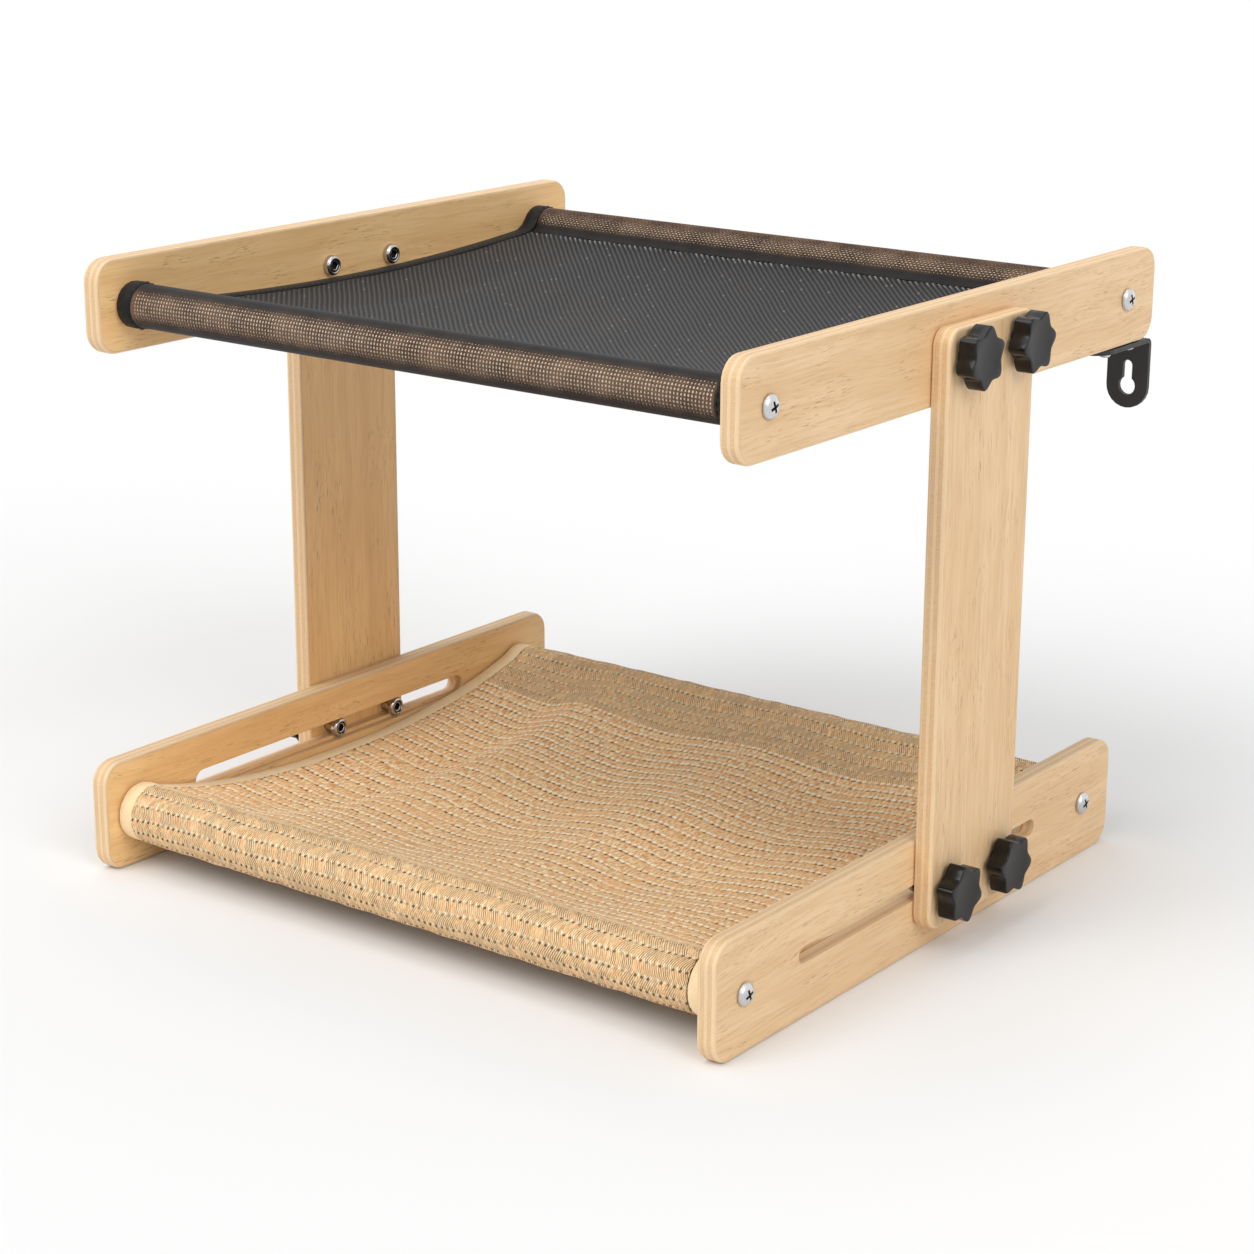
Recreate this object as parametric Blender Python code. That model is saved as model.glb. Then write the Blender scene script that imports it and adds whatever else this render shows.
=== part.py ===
"""Two-tier cat hammock: a black mesh bed over a woven sisal bed, each hung on two dowels between two
side rails. Two upright posts carry the upper bed. Star knobs on bolts through slots in the lower rails
clamp the posts, so the upper bed slides forwards and back when they are loosened.

Metres. X runs across, Y from front to rear, Z up. The origin is on the floor, below the middle of the
whole object as it stands in its rest position.
"""
import math
from collections import namedtuple

import bmesh
import bpy
from mathutils import Matrix, Vector

# Whole object
INNER_WIDTH = 0.448
OVERALL_HEIGHT = 0.380
SEAT_GAP = 0.0003

# Boards
BOARD_THICKNESS = 0.012
ARRIS_RADIUS = 0.0018
UPPER_RAIL_LENGTH = 0.445
UPPER_RAIL_HEIGHT = 0.057
LOWER_RAIL_LENGTH = 0.433
LOWER_RAIL_HEIGHT = 0.070
RAIL_CORNER_RADIUS = 0.014
POST_WIDTH = 0.093
POST_CORNER_RADIUS = 0.010
POST_TOP_DROP = 0.012
POST_FLOOR_GAP = 0.016
POST_FROM_UPPER_FRONT = 0.229

# Dowels and the screws in their ends
DOWEL_DIAMETER = 0.025
DOWEL_FROM_FRONT_END = 0.027
DOWEL_FROM_REAR_END = 0.036
SCREW_DIAMETER = 0.005
SCREW_LENGTH = 0.045
SCREW_HEAD_DIAMETER = 0.014
SCREW_HEAD_HEIGHT = 0.0036
SCREW_BORE_CLEARANCE = 0.0004
SCREW_TIP_LENGTH = 0.004

# Clamp bolts
BOLT_SPACING = 0.057
BOLT_DIAMETER = 0.008
BOLT_HEAD_DIAMETER = 0.0134
BOLT_HEAD_HEIGHT = 0.0042
BOLT_HEAD_RIM = 0.0008
BOLT_SOCKET_WIDTH = 0.005
BOLT_SOCKET_DEPTH = 0.0026
BOLT_ENGAGEMENT = 0.0095
BOLT_HOLE_CLEARANCE = 0.0004

# Slots in the lower rails, wider on the inner side where the bolt heads run
SLOT_FROM_FRONT_END = 0.079
SLOT_FROM_REAR_END = 0.096
SLOT_ABOVE_MIDDLE = 0.003
SLOT_CLEARANCE = 0.001
POCKET_CLEARANCE = 0.0006
POCKET_DEPTH = 0.005

# Star knobs
KNOB_DIAMETER = 0.036
KNOB_FLUTE_DEPTH = 0.0038
KNOB_LOBES = 7
KNOB_LOBE_BREADTH = 1.5
KNOB_BODY_HEIGHT = 0.011
KNOB_HUB_DIAMETER = 0.022
KNOB_HUB_HEIGHT = 0.0025
KNOB_FACE_RADIUS = 0.0018
BUSH_DIAMETER = 0.012
BUSH_LENGTH = 0.0105
BUSH_BORE_CLEARANCE = 0.0003

# Mesh bed
MESH_THICKNESS = 0.0014
MESH_MIDDLE_HEIGHT = -0.0085
MESH_END_HEIGHT = 0.0010
MESH_CURVE_POWER = 2.0
MESH_BELLY = 0.004
MESH_FOLD_HEIGHT = 0.0006
MESH_TOP_FILLET = 0.022
MESH_LOWER_FILLET = 0.012
MESH_BINDING_COVER = 0.0006

# Sisal bed
SISAL_THICKNESS = 0.005
SISAL_MIDDLE_HEIGHT = -0.0085
SISAL_END_HEIGHT = 0.0172
SISAL_CURVE_POWER = 2.4
SISAL_BELLY = 0.004
SISAL_FOLD_HEIGHT = 0.0022
SISAL_TOP_FILLET = 0.030
SISAL_LOWER_FILLET = 0.010
SISAL_BINDING_COVER = 0.0005

# Both beds
SLEEVE_CLEARANCE = 0.0003
BINDING_WIDTH = 0.011
BED_SIDE_GAP = 0.0015
FOLD_PITCH = 0.150

# Wall brackets
BRACKET_WIDTH = 0.028
BRACKET_THICKNESS = 0.003
BRACKET_DROP = 0.046
BRACKET_FLANGE_LENGTH = 0.063
BRACKET_INNER_BEND_RADIUS = 0.0015
KEYHOLE_DIAMETER = 0.0115
KEYHOLE_SLOT_WIDTH = 0.0065
KEYHOLE_SLOT_RISE = 0.013
BRACKET_SCREW_DIAMETER = 0.0035
BRACKET_SCREW_LENGTH = 0.018
BRACKET_SCREW_HEAD_DIAMETER = 0.0075
BRACKET_SCREW_HEAD_HEIGHT = 0.0024
BRACKET_SCREW_CLEARANCE = 0.0004
BRACKET_SCREW_FROM_END = 0.014
BRACKET_SCREW_SPACING = 0.030

# Fineness of the round shapes, in counts
CORNER_STEPS = 6
ARRIS_STEPS = 2
HOLE_STEPS = 16
SLOT_END_STEPS = 8
DOWEL_STEPS = 20
HEAD_STEPS = 14
SHANK_STEPS = 10
BUSH_STEPS = 10
SOCKET_SIDES = 6
LOBE_STEPS = 6
KNOB_FACE_STEPS = 2
BEND_STEPS = 3
SLEEVE_ARC_STEPS = 12
FILLET_STEPS = 3
BED_LENGTH_STEPS = 9
BED_WIDTH_STEPS = 12
BISECTIONS = 40
SHARP_ANGLE = math.radians(35)

# Where the posts stand in the slots at rest, as a share of their travel from the front end
REST_TRAVEL_SHARE = 0.6806282723

# Shape of a round head's dome and of a pan head, as shares of its radius and height, from the rim inwards
DOME_SHARES = ((1.0, 0.0), (0.93, 0.42), (0.76, 0.78), (0.52, 1.0))
PAN_SHARES = ((1.0, 0.0), (1.0, 0.30), (0.90, 0.66), (0.66, 0.92), (0.36, 1.0))

# Places that follow from the sizes above
SLOT_RADIUS = BOLT_DIAMETER / 2 + SLOT_CLEARANCE
SLOT_MIDDLE = (SLOT_FROM_FRONT_END - SLOT_FROM_REAR_END) / 2
SLOT_HALF_RUN = (LOWER_RAIL_LENGTH - SLOT_FROM_FRONT_END - SLOT_FROM_REAR_END) / 2 - SLOT_RADIUS
HALF_TRAVEL = SLOT_HALF_RUN - BOLT_SPACING / 2
POST_FROM_LOWER_MIDDLE = SLOT_MIDDLE + HALF_TRAVEL * (2 * REST_TRAVEL_SHARE - 1)
FRONT_STEP = LOWER_RAIL_LENGTH / 2 + POST_FROM_LOWER_MIDDLE - POST_FROM_UPPER_FRONT
OVERALL_DEPTH = UPPER_RAIL_LENGTH + FRONT_STEP
LOWER_RAIL_Y = (LOWER_RAIL_LENGTH - OVERALL_DEPTH) / 2
UPPER_RAIL_Y = (OVERALL_DEPTH - UPPER_RAIL_LENGTH) / 2
UPPER_RAIL_Z = OVERALL_HEIGHT - UPPER_RAIL_HEIGHT / 2
LOWER_RAIL_Z = LOWER_RAIL_HEIGHT / 2
LOWER_CLAMP_Z = LOWER_RAIL_Z + SLOT_ABOVE_MIDDLE
POST_Y = LOWER_RAIL_Y + POST_FROM_LOWER_MIDDLE
POST_HEIGHT = OVERALL_HEIGHT - POST_TOP_DROP - POST_FLOOR_GAP
POST_Z = POST_FLOOR_GAP + POST_HEIGHT / 2
RAIL_X = (INNER_WIDTH + BOARD_THICKNESS) / 2
POST_X = RAIL_X + BOARD_THICKNESS + SEAT_GAP
POST_OUTER_X = POST_X + BOARD_THICKNESS / 2
DOWEL_LENGTH = INNER_WIDTH - 2 * SEAT_GAP
BED_MIDDLE = (DOWEL_FROM_FRONT_END - DOWEL_FROM_REAR_END) / 2
UPPER_HALF_SPAN = (UPPER_RAIL_LENGTH - DOWEL_FROM_FRONT_END - DOWEL_FROM_REAR_END) / 2
LOWER_HALF_SPAN = (LOWER_RAIL_LENGTH - DOWEL_FROM_FRONT_END - DOWEL_FROM_REAR_END) / 2
UPPER_BED_Y = UPPER_RAIL_Y + BED_MIDDLE
LOWER_BED_Y = LOWER_RAIL_Y + BED_MIDDLE
SCREW_BORE_RADIUS = SCREW_DIAMETER / 2 + SCREW_BORE_CLEARANCE
BOLT_HOLE_RADIUS = BOLT_DIAMETER / 2 + BOLT_HOLE_CLEARANCE
POCKET_RADIUS = BOLT_HEAD_DIAMETER / 2 + POCKET_CLEARANCE
BED_HALF_WIDTH = INNER_WIDTH / 2 - BED_SIDE_GAP
CLOTH_HALF_WIDTH = BED_HALF_WIDTH - BINDING_WIDTH - SEAT_GAP

SIDES = (("left", -1), ("right", 1))
ENDS = (("front", -1), ("rear", 1))

Bed = namedtuple("Bed", "half_span thickness middle end power belly fold top_fillet lower_fillet cover")
MESH_BED = Bed(UPPER_HALF_SPAN, MESH_THICKNESS, MESH_MIDDLE_HEIGHT, MESH_END_HEIGHT, MESH_CURVE_POWER,
               MESH_BELLY, MESH_FOLD_HEIGHT, MESH_TOP_FILLET, MESH_LOWER_FILLET, MESH_BINDING_COVER)
SISAL_BED = Bed(LOWER_HALF_SPAN, SISAL_THICKNESS, SISAL_MIDDLE_HEIGHT, SISAL_END_HEIGHT, SISAL_CURVE_POWER,
                SISAL_BELLY, SISAL_FOLD_HEIGHT, SISAL_TOP_FILLET, SISAL_LOWER_FILLET, SISAL_BINDING_COVER)


# Scene, objects and materials

def clear_scene():
    for obj in list(bpy.data.objects):
        bpy.data.objects.remove(obj, do_unlink=True)


def make_material(name, colour, roughness, metallic=0.0):
    material = bpy.data.materials.new(name)
    material.use_nodes = True
    shader = material.node_tree.nodes["Principled BSDF"]
    shader.inputs["Base Color"].default_value = (*colour, 1.0)
    shader.inputs["Roughness"].default_value = roughness
    shader.inputs["Metallic"].default_value = metallic
    material.diffuse_color = (*colour, 1.0)
    return material


def finished_mesh(name, bm, material):
    bmesh.ops.recalc_face_normals(bm, faces=bm.faces[:])
    if bm.calc_volume(signed=True) < 0:
        bmesh.ops.reverse_faces(bm, faces=bm.faces[:])
    mesh = bpy.data.meshes.new(name)
    bm.to_mesh(mesh)
    bm.free()
    mesh.materials.append(material)
    mesh.shade_smooth()
    mesh.set_sharp_from_angle(angle=SHARP_ANGLE)
    return mesh


def world_location(obj):
    return obj.location + (world_location(obj.parent) if obj.parent else Vector())


def place(name, data, location, parent=None, turn=0.0):
    """Adds an object at a place in the world; turn is about the vertical."""
    obj = bpy.data.objects.new(name, data)
    bpy.context.scene.collection.objects.link(obj)
    obj.rotation_euler = (0.0, 0.0, turn)
    obj.location = Vector(location)
    if parent:
        obj.parent = parent
        obj.location -= world_location(parent)
    return obj


# Outlines: lists of (u, v) points that run once round a shape

def circle(radius, steps, u=0.0, v=0.0):
    return [(u + radius * math.cos(a), v + radius * math.sin(a))
            for a in (2 * math.pi * i / steps for i in range(steps))]


def arc(radius, start, end, steps, u=0.0, v=0.0):
    return [(u + radius * math.cos(a), v + radius * math.sin(a))
            for a in (start + (end - start) * i / steps for i in range(steps + 1))]


def rounded_rectangle(length, height, radius, steps):
    points = []
    for quarter, (su, sv) in enumerate(((1, 1), (-1, 1), (-1, -1), (1, -1))):
        start = quarter * math.pi / 2
        points += arc(radius, start, start + math.pi / 2, steps,
                      su * (length / 2 - radius), sv * (height / 2 - radius))
    return points


def long_hole(half_run, radius, steps, u=0.0, v=0.0):
    rear = arc(radius, -math.pi / 2, math.pi / 2, steps, u + half_run, v)
    front = arc(radius, math.pi / 2, math.pi * 3 / 2, steps, u - half_run, v)
    return rear + front


def keyhole(radius, slot_radius, rise, steps):
    """A round hole with a narrower slot above it, about the round hole's middle."""
    half_mouth = math.asin(slot_radius / radius)
    lower = arc(radius, math.pi / 2 + half_mouth, math.pi * 5 / 2 - half_mouth, steps)
    upper = arc(slot_radius, 0.0, math.pi, steps // 2, 0.0, rise)
    return lower + upper


# Mesh building from rings of vertices

def skin(bm, first, second):
    for i in range(len(first)):
        j = (i + 1) % len(first)
        bm.faces.new((first[i], first[j], second[j], second[i]))


def cap(bm, *rings):
    """Fills a flat face inside the first ring; the other rings are holes in it."""
    edges = []
    for ring in rings:
        for i, vert in enumerate(ring):
            pair = (vert, ring[(i + 1) % len(ring)])
            edges.append(bm.edges.get(pair) or bm.edges.new(pair))
    bmesh.ops.triangle_fill(bm, use_beauty=True, use_dissolve=False, edges=edges)


def turned(bm, profile, steps):
    """Turns a profile of (x, radius) points about the X axis; a radius of zero closes it."""
    rings = []
    for x, radius in profile:
        if radius == 0:
            rings.append([bm.verts.new((x, 0.0, 0.0))])
        else:
            rings.append([bm.verts.new((x, y, z)) for y, z in circle(radius, steps)])
    for first, second in zip(rings, rings[1:]):
        if len(first) == 1 or len(second) == 1:
            pole, ring = (first, second) if len(first) == 1 else (second, first)
            for i in range(steps):
                bm.faces.new((pole[0], ring[i], ring[(i + 1) % steps]))
        else:
            skin(bm, first, second)
    return rings


# Boards

def board_mesh(name, length, height, corner, openings, side, material):
    """A flat board with rounded corners and eased edges. Its thickness runs outwards from the inner face.
    Each opening is a list of (depth below the inner face, outline) steps through the board."""
    bm = bmesh.new()

    def ring(depth, outline):
        return [bm.verts.new((side * (depth - BOARD_THICKNESS / 2), u, v)) for u, v in outline]

    rings = []
    for face in (0, 1):
        for step in range(ARRIS_STEPS + 1):
            angle = math.pi / 2 * (step if face == 0 else ARRIS_STEPS - step) / ARRIS_STEPS
            inset = ARRIS_RADIUS * (1 - math.sin(angle))
            depth = ARRIS_RADIUS * (1 - math.cos(angle))
            outline = rounded_rectangle(length - 2 * inset, height - 2 * inset, corner - inset, CORNER_STEPS)
            rings.append(ring(depth if face == 0 else BOARD_THICKNESS - depth, outline))
    for first, second in zip(rings, rings[1:]):
        skin(bm, first, second)

    inner_holes = []
    outer_holes = []
    for opening in openings:
        walls = [ring(depth, outline) for depth, outline in opening]
        for first, second in zip(walls, walls[1:]):
            skin(bm, first, second)
        inner_holes.append(walls[0])
        outer_holes.append(walls[-1])
    cap(bm, rings[0], *inner_holes)
    cap(bm, rings[-1], *outer_holes)
    return finished_mesh(name, bm, material)


def round_hole(radius, u, v=0.0):
    outline = circle(radius, HOLE_STEPS, u, v)
    return [(0.0, outline), (BOARD_THICKNESS, outline)]


def stepped_slot():
    pocket = long_hole(SLOT_HALF_RUN, POCKET_RADIUS, SLOT_END_STEPS, SLOT_MIDDLE, SLOT_ABOVE_MIDDLE)
    slot = long_hole(SLOT_HALF_RUN, SLOT_RADIUS, SLOT_END_STEPS, SLOT_MIDDLE, SLOT_ABOVE_MIDDLE)
    return [(0.0, pocket), (POCKET_DEPTH, pocket), (POCKET_DEPTH, slot), (BOARD_THICKNESS, slot)]


def make_lower_rail(label, side, material, parent):
    openings = [round_hole(SCREW_BORE_RADIUS, BED_MIDDLE - LOWER_HALF_SPAN),
                round_hole(SCREW_BORE_RADIUS, BED_MIDDLE + LOWER_HALF_SPAN), stepped_slot()]
    name = "lower_rail_" + label
    mesh = board_mesh(name, LOWER_RAIL_LENGTH, LOWER_RAIL_HEIGHT, RAIL_CORNER_RADIUS, openings, side,
                      material)
    place(name, mesh, (side * RAIL_X, LOWER_RAIL_Y, LOWER_RAIL_Z), parent)


def make_upper_rail(label, side, material, parent):
    post_u = POST_Y - UPPER_RAIL_Y
    openings = [round_hole(SCREW_BORE_RADIUS, BED_MIDDLE - UPPER_HALF_SPAN),
                round_hole(SCREW_BORE_RADIUS, BED_MIDDLE + UPPER_HALF_SPAN),
                round_hole(BOLT_HOLE_RADIUS, post_u - BOLT_SPACING / 2),
                round_hole(BOLT_HOLE_RADIUS, post_u + BOLT_SPACING / 2)]
    name = "upper_rail_" + label
    mesh = board_mesh(name, UPPER_RAIL_LENGTH, UPPER_RAIL_HEIGHT, RAIL_CORNER_RADIUS, openings, side,
                      material)
    rail = place(name, mesh, (side * RAIL_X, UPPER_RAIL_Y, UPPER_RAIL_Z), parent)
    drill_bracket_bores(rail, label, parent)


def drill_bracket_bores(rail, label, parent):
    """Blind bores in the rail's lower edge for the bracket screws."""
    depth = BRACKET_SCREW_LENGTH - BRACKET_THICKNESS
    radius = BRACKET_SCREW_DIAMETER / 2 + BRACKET_SCREW_CLEARANCE
    bm = bmesh.new()
    for y in bracket_screw_places():
        middle = Matrix.Translation((0.0, UPPER_RAIL_LENGTH / 2 + y, -UPPER_RAIL_HEIGHT / 2))
        bmesh.ops.create_cone(bm, cap_ends=True, segments=SHANK_STEPS, radius1=radius, radius2=radius,
                              depth=2 * depth, matrix=middle)
    mesh = bpy.data.meshes.new("bracket_bores_" + label)
    bm.to_mesh(mesh)
    bm.free()
    cutter = place("bracket_bores_" + label, mesh, world_location(rail), parent)
    cutter.hide_render = True
    cutter.display_type = "WIRE"
    cut = rail.modifiers.new("bracket_bores", "BOOLEAN")
    cut.operation = "DIFFERENCE"
    cut.solver = "EXACT"
    cut.object = cutter


def make_post(label, side, material, parent):
    holes = [round_hole(BOLT_HOLE_RADIUS, end * BOLT_SPACING / 2, rail_z - POST_Z)
             for rail_z in (LOWER_CLAMP_Z, UPPER_RAIL_Z) for _, end in ENDS]
    name = "post_" + label
    mesh = board_mesh(name, POST_WIDTH, POST_HEIGHT, POST_CORNER_RADIUS, holes, side, material)
    place(name, mesh, (side * POST_X, POST_Y, POST_Z), parent)


# Dowels, screws and bolts, all turned about the X axis

def dowel_mesh(material):
    bm = bmesh.new()
    half = DOWEL_LENGTH / 2
    bore_end = half - (SCREW_LENGTH - BOARD_THICKNESS)
    radius = DOWEL_DIAMETER / 2
    turned(bm, [(-bore_end, 0.0), (-bore_end, SCREW_BORE_RADIUS), (-half, SCREW_BORE_RADIUS), (-half, radius),
                (half, radius), (half, SCREW_BORE_RADIUS), (bore_end, SCREW_BORE_RADIUS), (bore_end, 0.0)],
           DOWEL_STEPS)
    return finished_mesh("dowel", bm, material)


def screw_mesh(name, diameter, length, tip, head_diameter, head_height, steps, material):
    """A pan-head screw along X: the head's seat is at zero, the shank points to -X."""
    bm = bmesh.new()
    shank = [(-length, 0.0), (tip - length, diameter / 2), (0.0, diameter / 2)]
    head = [(head_height * height, head_diameter / 2 * radius) for radius, height in PAN_SHARES]
    turned(bm, shank + head + [(head_height, 0.0)], steps)
    return finished_mesh(name, bm, material)


def bolt_mesh(name, grip, material):
    """A button-head bolt along X: the head's seat is at zero, the shank points to +X past the grip."""
    bm = bmesh.new()
    dome = [(-BOLT_HEAD_RIM - (BOLT_HEAD_HEIGHT - BOLT_HEAD_RIM) * height, BOLT_HEAD_DIAMETER / 2 * radius)
            for radius, height in reversed(DOME_SHARES)]
    rings = turned(bm, dome + [(0.0, BOLT_HEAD_DIAMETER / 2)], HEAD_STEPS)
    shank = [[bm.verts.new((x, y, z)) for y, z in circle(BOLT_DIAMETER / 2, SHANK_STEPS)]
             for x in (0.0, grip + BOLT_ENGAGEMENT)]
    corner_radius = BOLT_SOCKET_WIDTH / 2 / math.cos(math.pi / SOCKET_SIDES)
    top = dome[0][0]
    socket = [[bm.verts.new((x, y, z)) for y, z in circle(corner_radius, SOCKET_SIDES)]
              for x in (top, top + BOLT_SOCKET_DEPTH)]
    cap(bm, rings[0], socket[0])
    skin(bm, *socket)
    cap(bm, socket[1])
    cap(bm, rings[-1], shank[0])
    skin(bm, *shank)
    cap(bm, shank[1])
    return finished_mesh(name, bm, material)


# Star knobs

def star(radius, flute_depth):
    """A round outline with evenly spaced lobes, broader than the flutes between them."""
    steps = KNOB_LOBES * LOBE_STEPS
    points = []
    for i in range(steps):
        angle = 2 * math.pi * i / steps
        flute = ((1 - math.cos(KNOB_LOBES * angle)) / 2) ** KNOB_LOBE_BREADTH
        distance = radius - flute_depth * flute
        points.append((distance * math.cos(angle), distance * math.sin(angle)))
    return points


def knob_mesh(material):
    """Along X, with its foot at zero and its face outwards; a blind bore from the foot holds the bush."""
    bm = bmesh.new()
    radius = KNOB_DIAMETER / 2
    body_foot = KNOB_HUB_HEIGHT
    top = KNOB_HUB_HEIGHT + KNOB_BODY_HEIGHT

    def ring(x, outline):
        return [bm.verts.new((x, y, z)) for y, z in outline]

    rings = [ring(body_foot, star(radius, KNOB_FLUTE_DEPTH))]
    for step in range(KNOB_FACE_STEPS + 1):
        angle = math.pi / 2 * step / KNOB_FACE_STEPS
        inset = KNOB_FACE_RADIUS * (1 - math.cos(angle))
        depth = KNOB_FACE_RADIUS * (1 - math.sin(angle))
        rings.append(ring(top - depth, star(radius - inset, KNOB_FLUTE_DEPTH)))
    for first, second in zip(rings, rings[1:]):
        skin(bm, first, second)
    cap(bm, rings[-1])

    hub = [ring(x, circle(KNOB_HUB_DIAMETER / 2, HEAD_STEPS)) for x in (body_foot, 0.0)]
    bore = [ring(x, circle(BUSH_DIAMETER / 2 + SEAT_GAP, BUSH_STEPS)) for x in (0.0, BUSH_LENGTH + SEAT_GAP)]
    cap(bm, rings[0], hub[0])
    skin(bm, *hub)
    cap(bm, hub[1], bore[0])
    skin(bm, *bore)
    cap(bm, bore[1])
    return finished_mesh("star_knob", bm, material)


def bush_mesh(material):
    """The threaded bush moulded into a knob, with a plain through bore."""
    bm = bmesh.new()
    outer = BUSH_DIAMETER / 2
    bore = BOLT_DIAMETER / 2 + BUSH_BORE_CLEARANCE
    rings = [[bm.verts.new((x, y, z)) for y, z in circle(radius, BUSH_STEPS)]
             for x, radius in ((0.0, bore), (0.0, outer), (BUSH_LENGTH, outer), (BUSH_LENGTH, bore))]
    for first, second in zip(rings, rings[1:] + rings[:1]):
        skin(bm, first, second)
    return finished_mesh("knob_bush", bm, material)


# Beds: cloth hung between two dowels, with a sleeve round each

def fold_height(bed, x):
    """Long gentle folds from front to rear that die out at the side edges."""
    across = x / CLOTH_HALF_WIDTH
    return -bed.fold * math.cos(2 * math.pi * x / FOLD_PITCH) * (1 - across ** 4)


def bed_height(bed, x, y):
    """Height of the cloth's upper face above the dowels' axes."""
    along = min(abs(y) / bed.half_span, 1.0)
    across = min(abs(x) / CLOTH_HALF_WIDTH, 1.0)
    edge = bed.middle + (bed.end - bed.middle) * along ** bed.power
    if across == 1:
        return edge
    slack = 1 - along ** 2
    return edge - bed.belly * slack * (1 - across ** 4) + fold_height(bed, x) * slack ** 2


def tangent_arc(bed, x, roll, lift, radius, up, side):
    """The arc that joins the cloth's face to the roll. Returns its middle, its start on the face and its end
    on the roll, with y measured from the middle of the bed towards this end."""
    near = 0.0
    far = bed.half_span
    step = bed.thickness / 100
    for _ in range(BISECTIONS):
        y = (near + far) / 2
        z = bed_height(bed, x, side * y) + lift
        slope = (bed_height(bed, x, side * (y + step)) - bed_height(bed, x, side * (y - step))) / (2 * step)
        normal = Vector((-slope, 1.0)).normalized() * up
        start = Vector((y, z))
        middle = start + normal * radius
        if (middle - Vector((bed.half_span, 0.0))).length > roll + radius:
            near = y
        else:
            far = y
    axis = Vector((bed.half_span, 0.0))
    return middle, start, axis + (middle - axis).normalized() * roll


def arc_between(middle, start, end, radius, steps):
    """Points strictly between the start and the end of the shorter arc."""
    first = math.atan2(start.y - middle.y, start.x - middle.x)
    last = math.atan2(end.y - middle.y, end.x - middle.x)
    sweep = (last - first + math.pi) % (2 * math.pi) - math.pi
    return arc(radius, first, first + sweep, steps, middle.x, middle.y)[1:-1]


def half_section(bed, x, cover, side):
    """Outline of one end of the bed, from the middle of the upper face round the roll to the middle of the
    lower face, as (y, z) about the dowels' height."""
    roll = DOWEL_DIAMETER / 2 + SLEEVE_CLEARANCE + bed.thickness + cover
    lower_lift = -bed.thickness - cover
    top_middle, top_start, top_end = tangent_arc(bed, x, roll, cover, bed.top_fillet, 1, side)
    low_middle, low_start, low_end = tangent_arc(bed, x, roll, lower_lift, bed.lower_fillet, -1, side)
    points = []
    for i in range(BED_LENGTH_STEPS + 1):
        y = top_start.x * i / BED_LENGTH_STEPS
        points.append((y, bed_height(bed, x, side * y) + cover))
    points += arc_between(top_middle, top_start, top_end, bed.top_fillet, FILLET_STEPS)
    first = math.atan2(top_end.y, top_end.x - bed.half_span)
    last = math.atan2(low_end.y, low_end.x - bed.half_span)
    points += arc(roll, first, last, SLEEVE_ARC_STEPS, bed.half_span)
    points += arc_between(low_middle, low_end, low_start, bed.lower_fillet, FILLET_STEPS)
    for i in range(BED_LENGTH_STEPS, -1, -1):
        y = low_start.x * i / BED_LENGTH_STEPS
        points.append((y, bed_height(bed, x, side * y) + lower_lift))
    return [(side * y, z) for y, z in points]


def bed_section(bed, x, cover=0.0):
    rear = half_section(bed, x, cover, 1)
    front = half_section(bed, x, cover, -1)
    return rear + front[-2:0:-1]


def bed_mesh(name, bed, stations, cover, material):
    """Lofts the bed's section along X through the stations, with a straight bore for each dowel."""
    bm = bmesh.new()
    rings = [[bm.verts.new((x, y, z)) for y, z in bed_section(bed, x, cover)] for x in stations]
    for first, second in zip(rings, rings[1:]):
        skin(bm, first, second)
    bore = DOWEL_DIAMETER / 2 + SLEEVE_CLEARANCE
    bores = []
    for _, end in ENDS:
        outline = circle(bore, DOWEL_STEPS, end * bed.half_span)
        pair = [[bm.verts.new((x, y, z)) for y, z in outline] for x in (stations[0], stations[-1])]
        skin(bm, *pair)
        bores.append(pair)
    cap(bm, rings[0], *(pair[0] for pair in bores))
    cap(bm, rings[-1], *(pair[1] for pair in bores))
    return finished_mesh(name, bm, material)


def make_bed(prefix, bed, centre_y, centre_z, cloth_material, tape_material, parent):
    place_at = (0.0, centre_y, centre_z)
    width_steps = range(BED_WIDTH_STEPS + 1)
    stations = [CLOTH_HALF_WIDTH * (2 * i / BED_WIDTH_STEPS - 1) for i in width_steps]
    place(prefix + "_bed", bed_mesh(prefix + "_bed", bed, stations, 0.0, cloth_material), place_at, parent)
    for label, side in SIDES:
        name = prefix + "_binding_" + label
        edges = sorted((side * (BED_HALF_WIDTH - BINDING_WIDTH), side * BED_HALF_WIDTH))
        place(name, bed_mesh(name, bed, edges, bed.cover, tape_material), place_at, parent)


# Wall brackets, bent from a flat strip with round ends

def bracket_screw_places():
    """How far each bracket screw is from the rail's rear end, as negative places along Y."""
    first = BRACKET_SCREW_FROM_END - BRACKET_FLANGE_LENGTH
    return [first, first + BRACKET_SCREW_SPACING]


def fold_strip(s, h):
    """Place on the bent strip, as (y, z) from the rail's lower rear corner, of a point s along its outer
    face from the lower end and h below that face."""
    outer = BRACKET_INNER_BEND_RADIUS + BRACKET_THICKNESS
    plate_end = BRACKET_DROP - SEAT_GAP - outer
    bend_end = plate_end + outer * math.pi / 2
    if s <= plate_end:
        return -h, s - BRACKET_DROP
    if s >= bend_end:
        return bend_end - outer - s, -SEAT_GAP - h
    angle = (s - plate_end) / outer
    return (outer - h) * math.cos(angle) - outer, (outer - h) * math.sin(angle) - outer - SEAT_GAP


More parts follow.
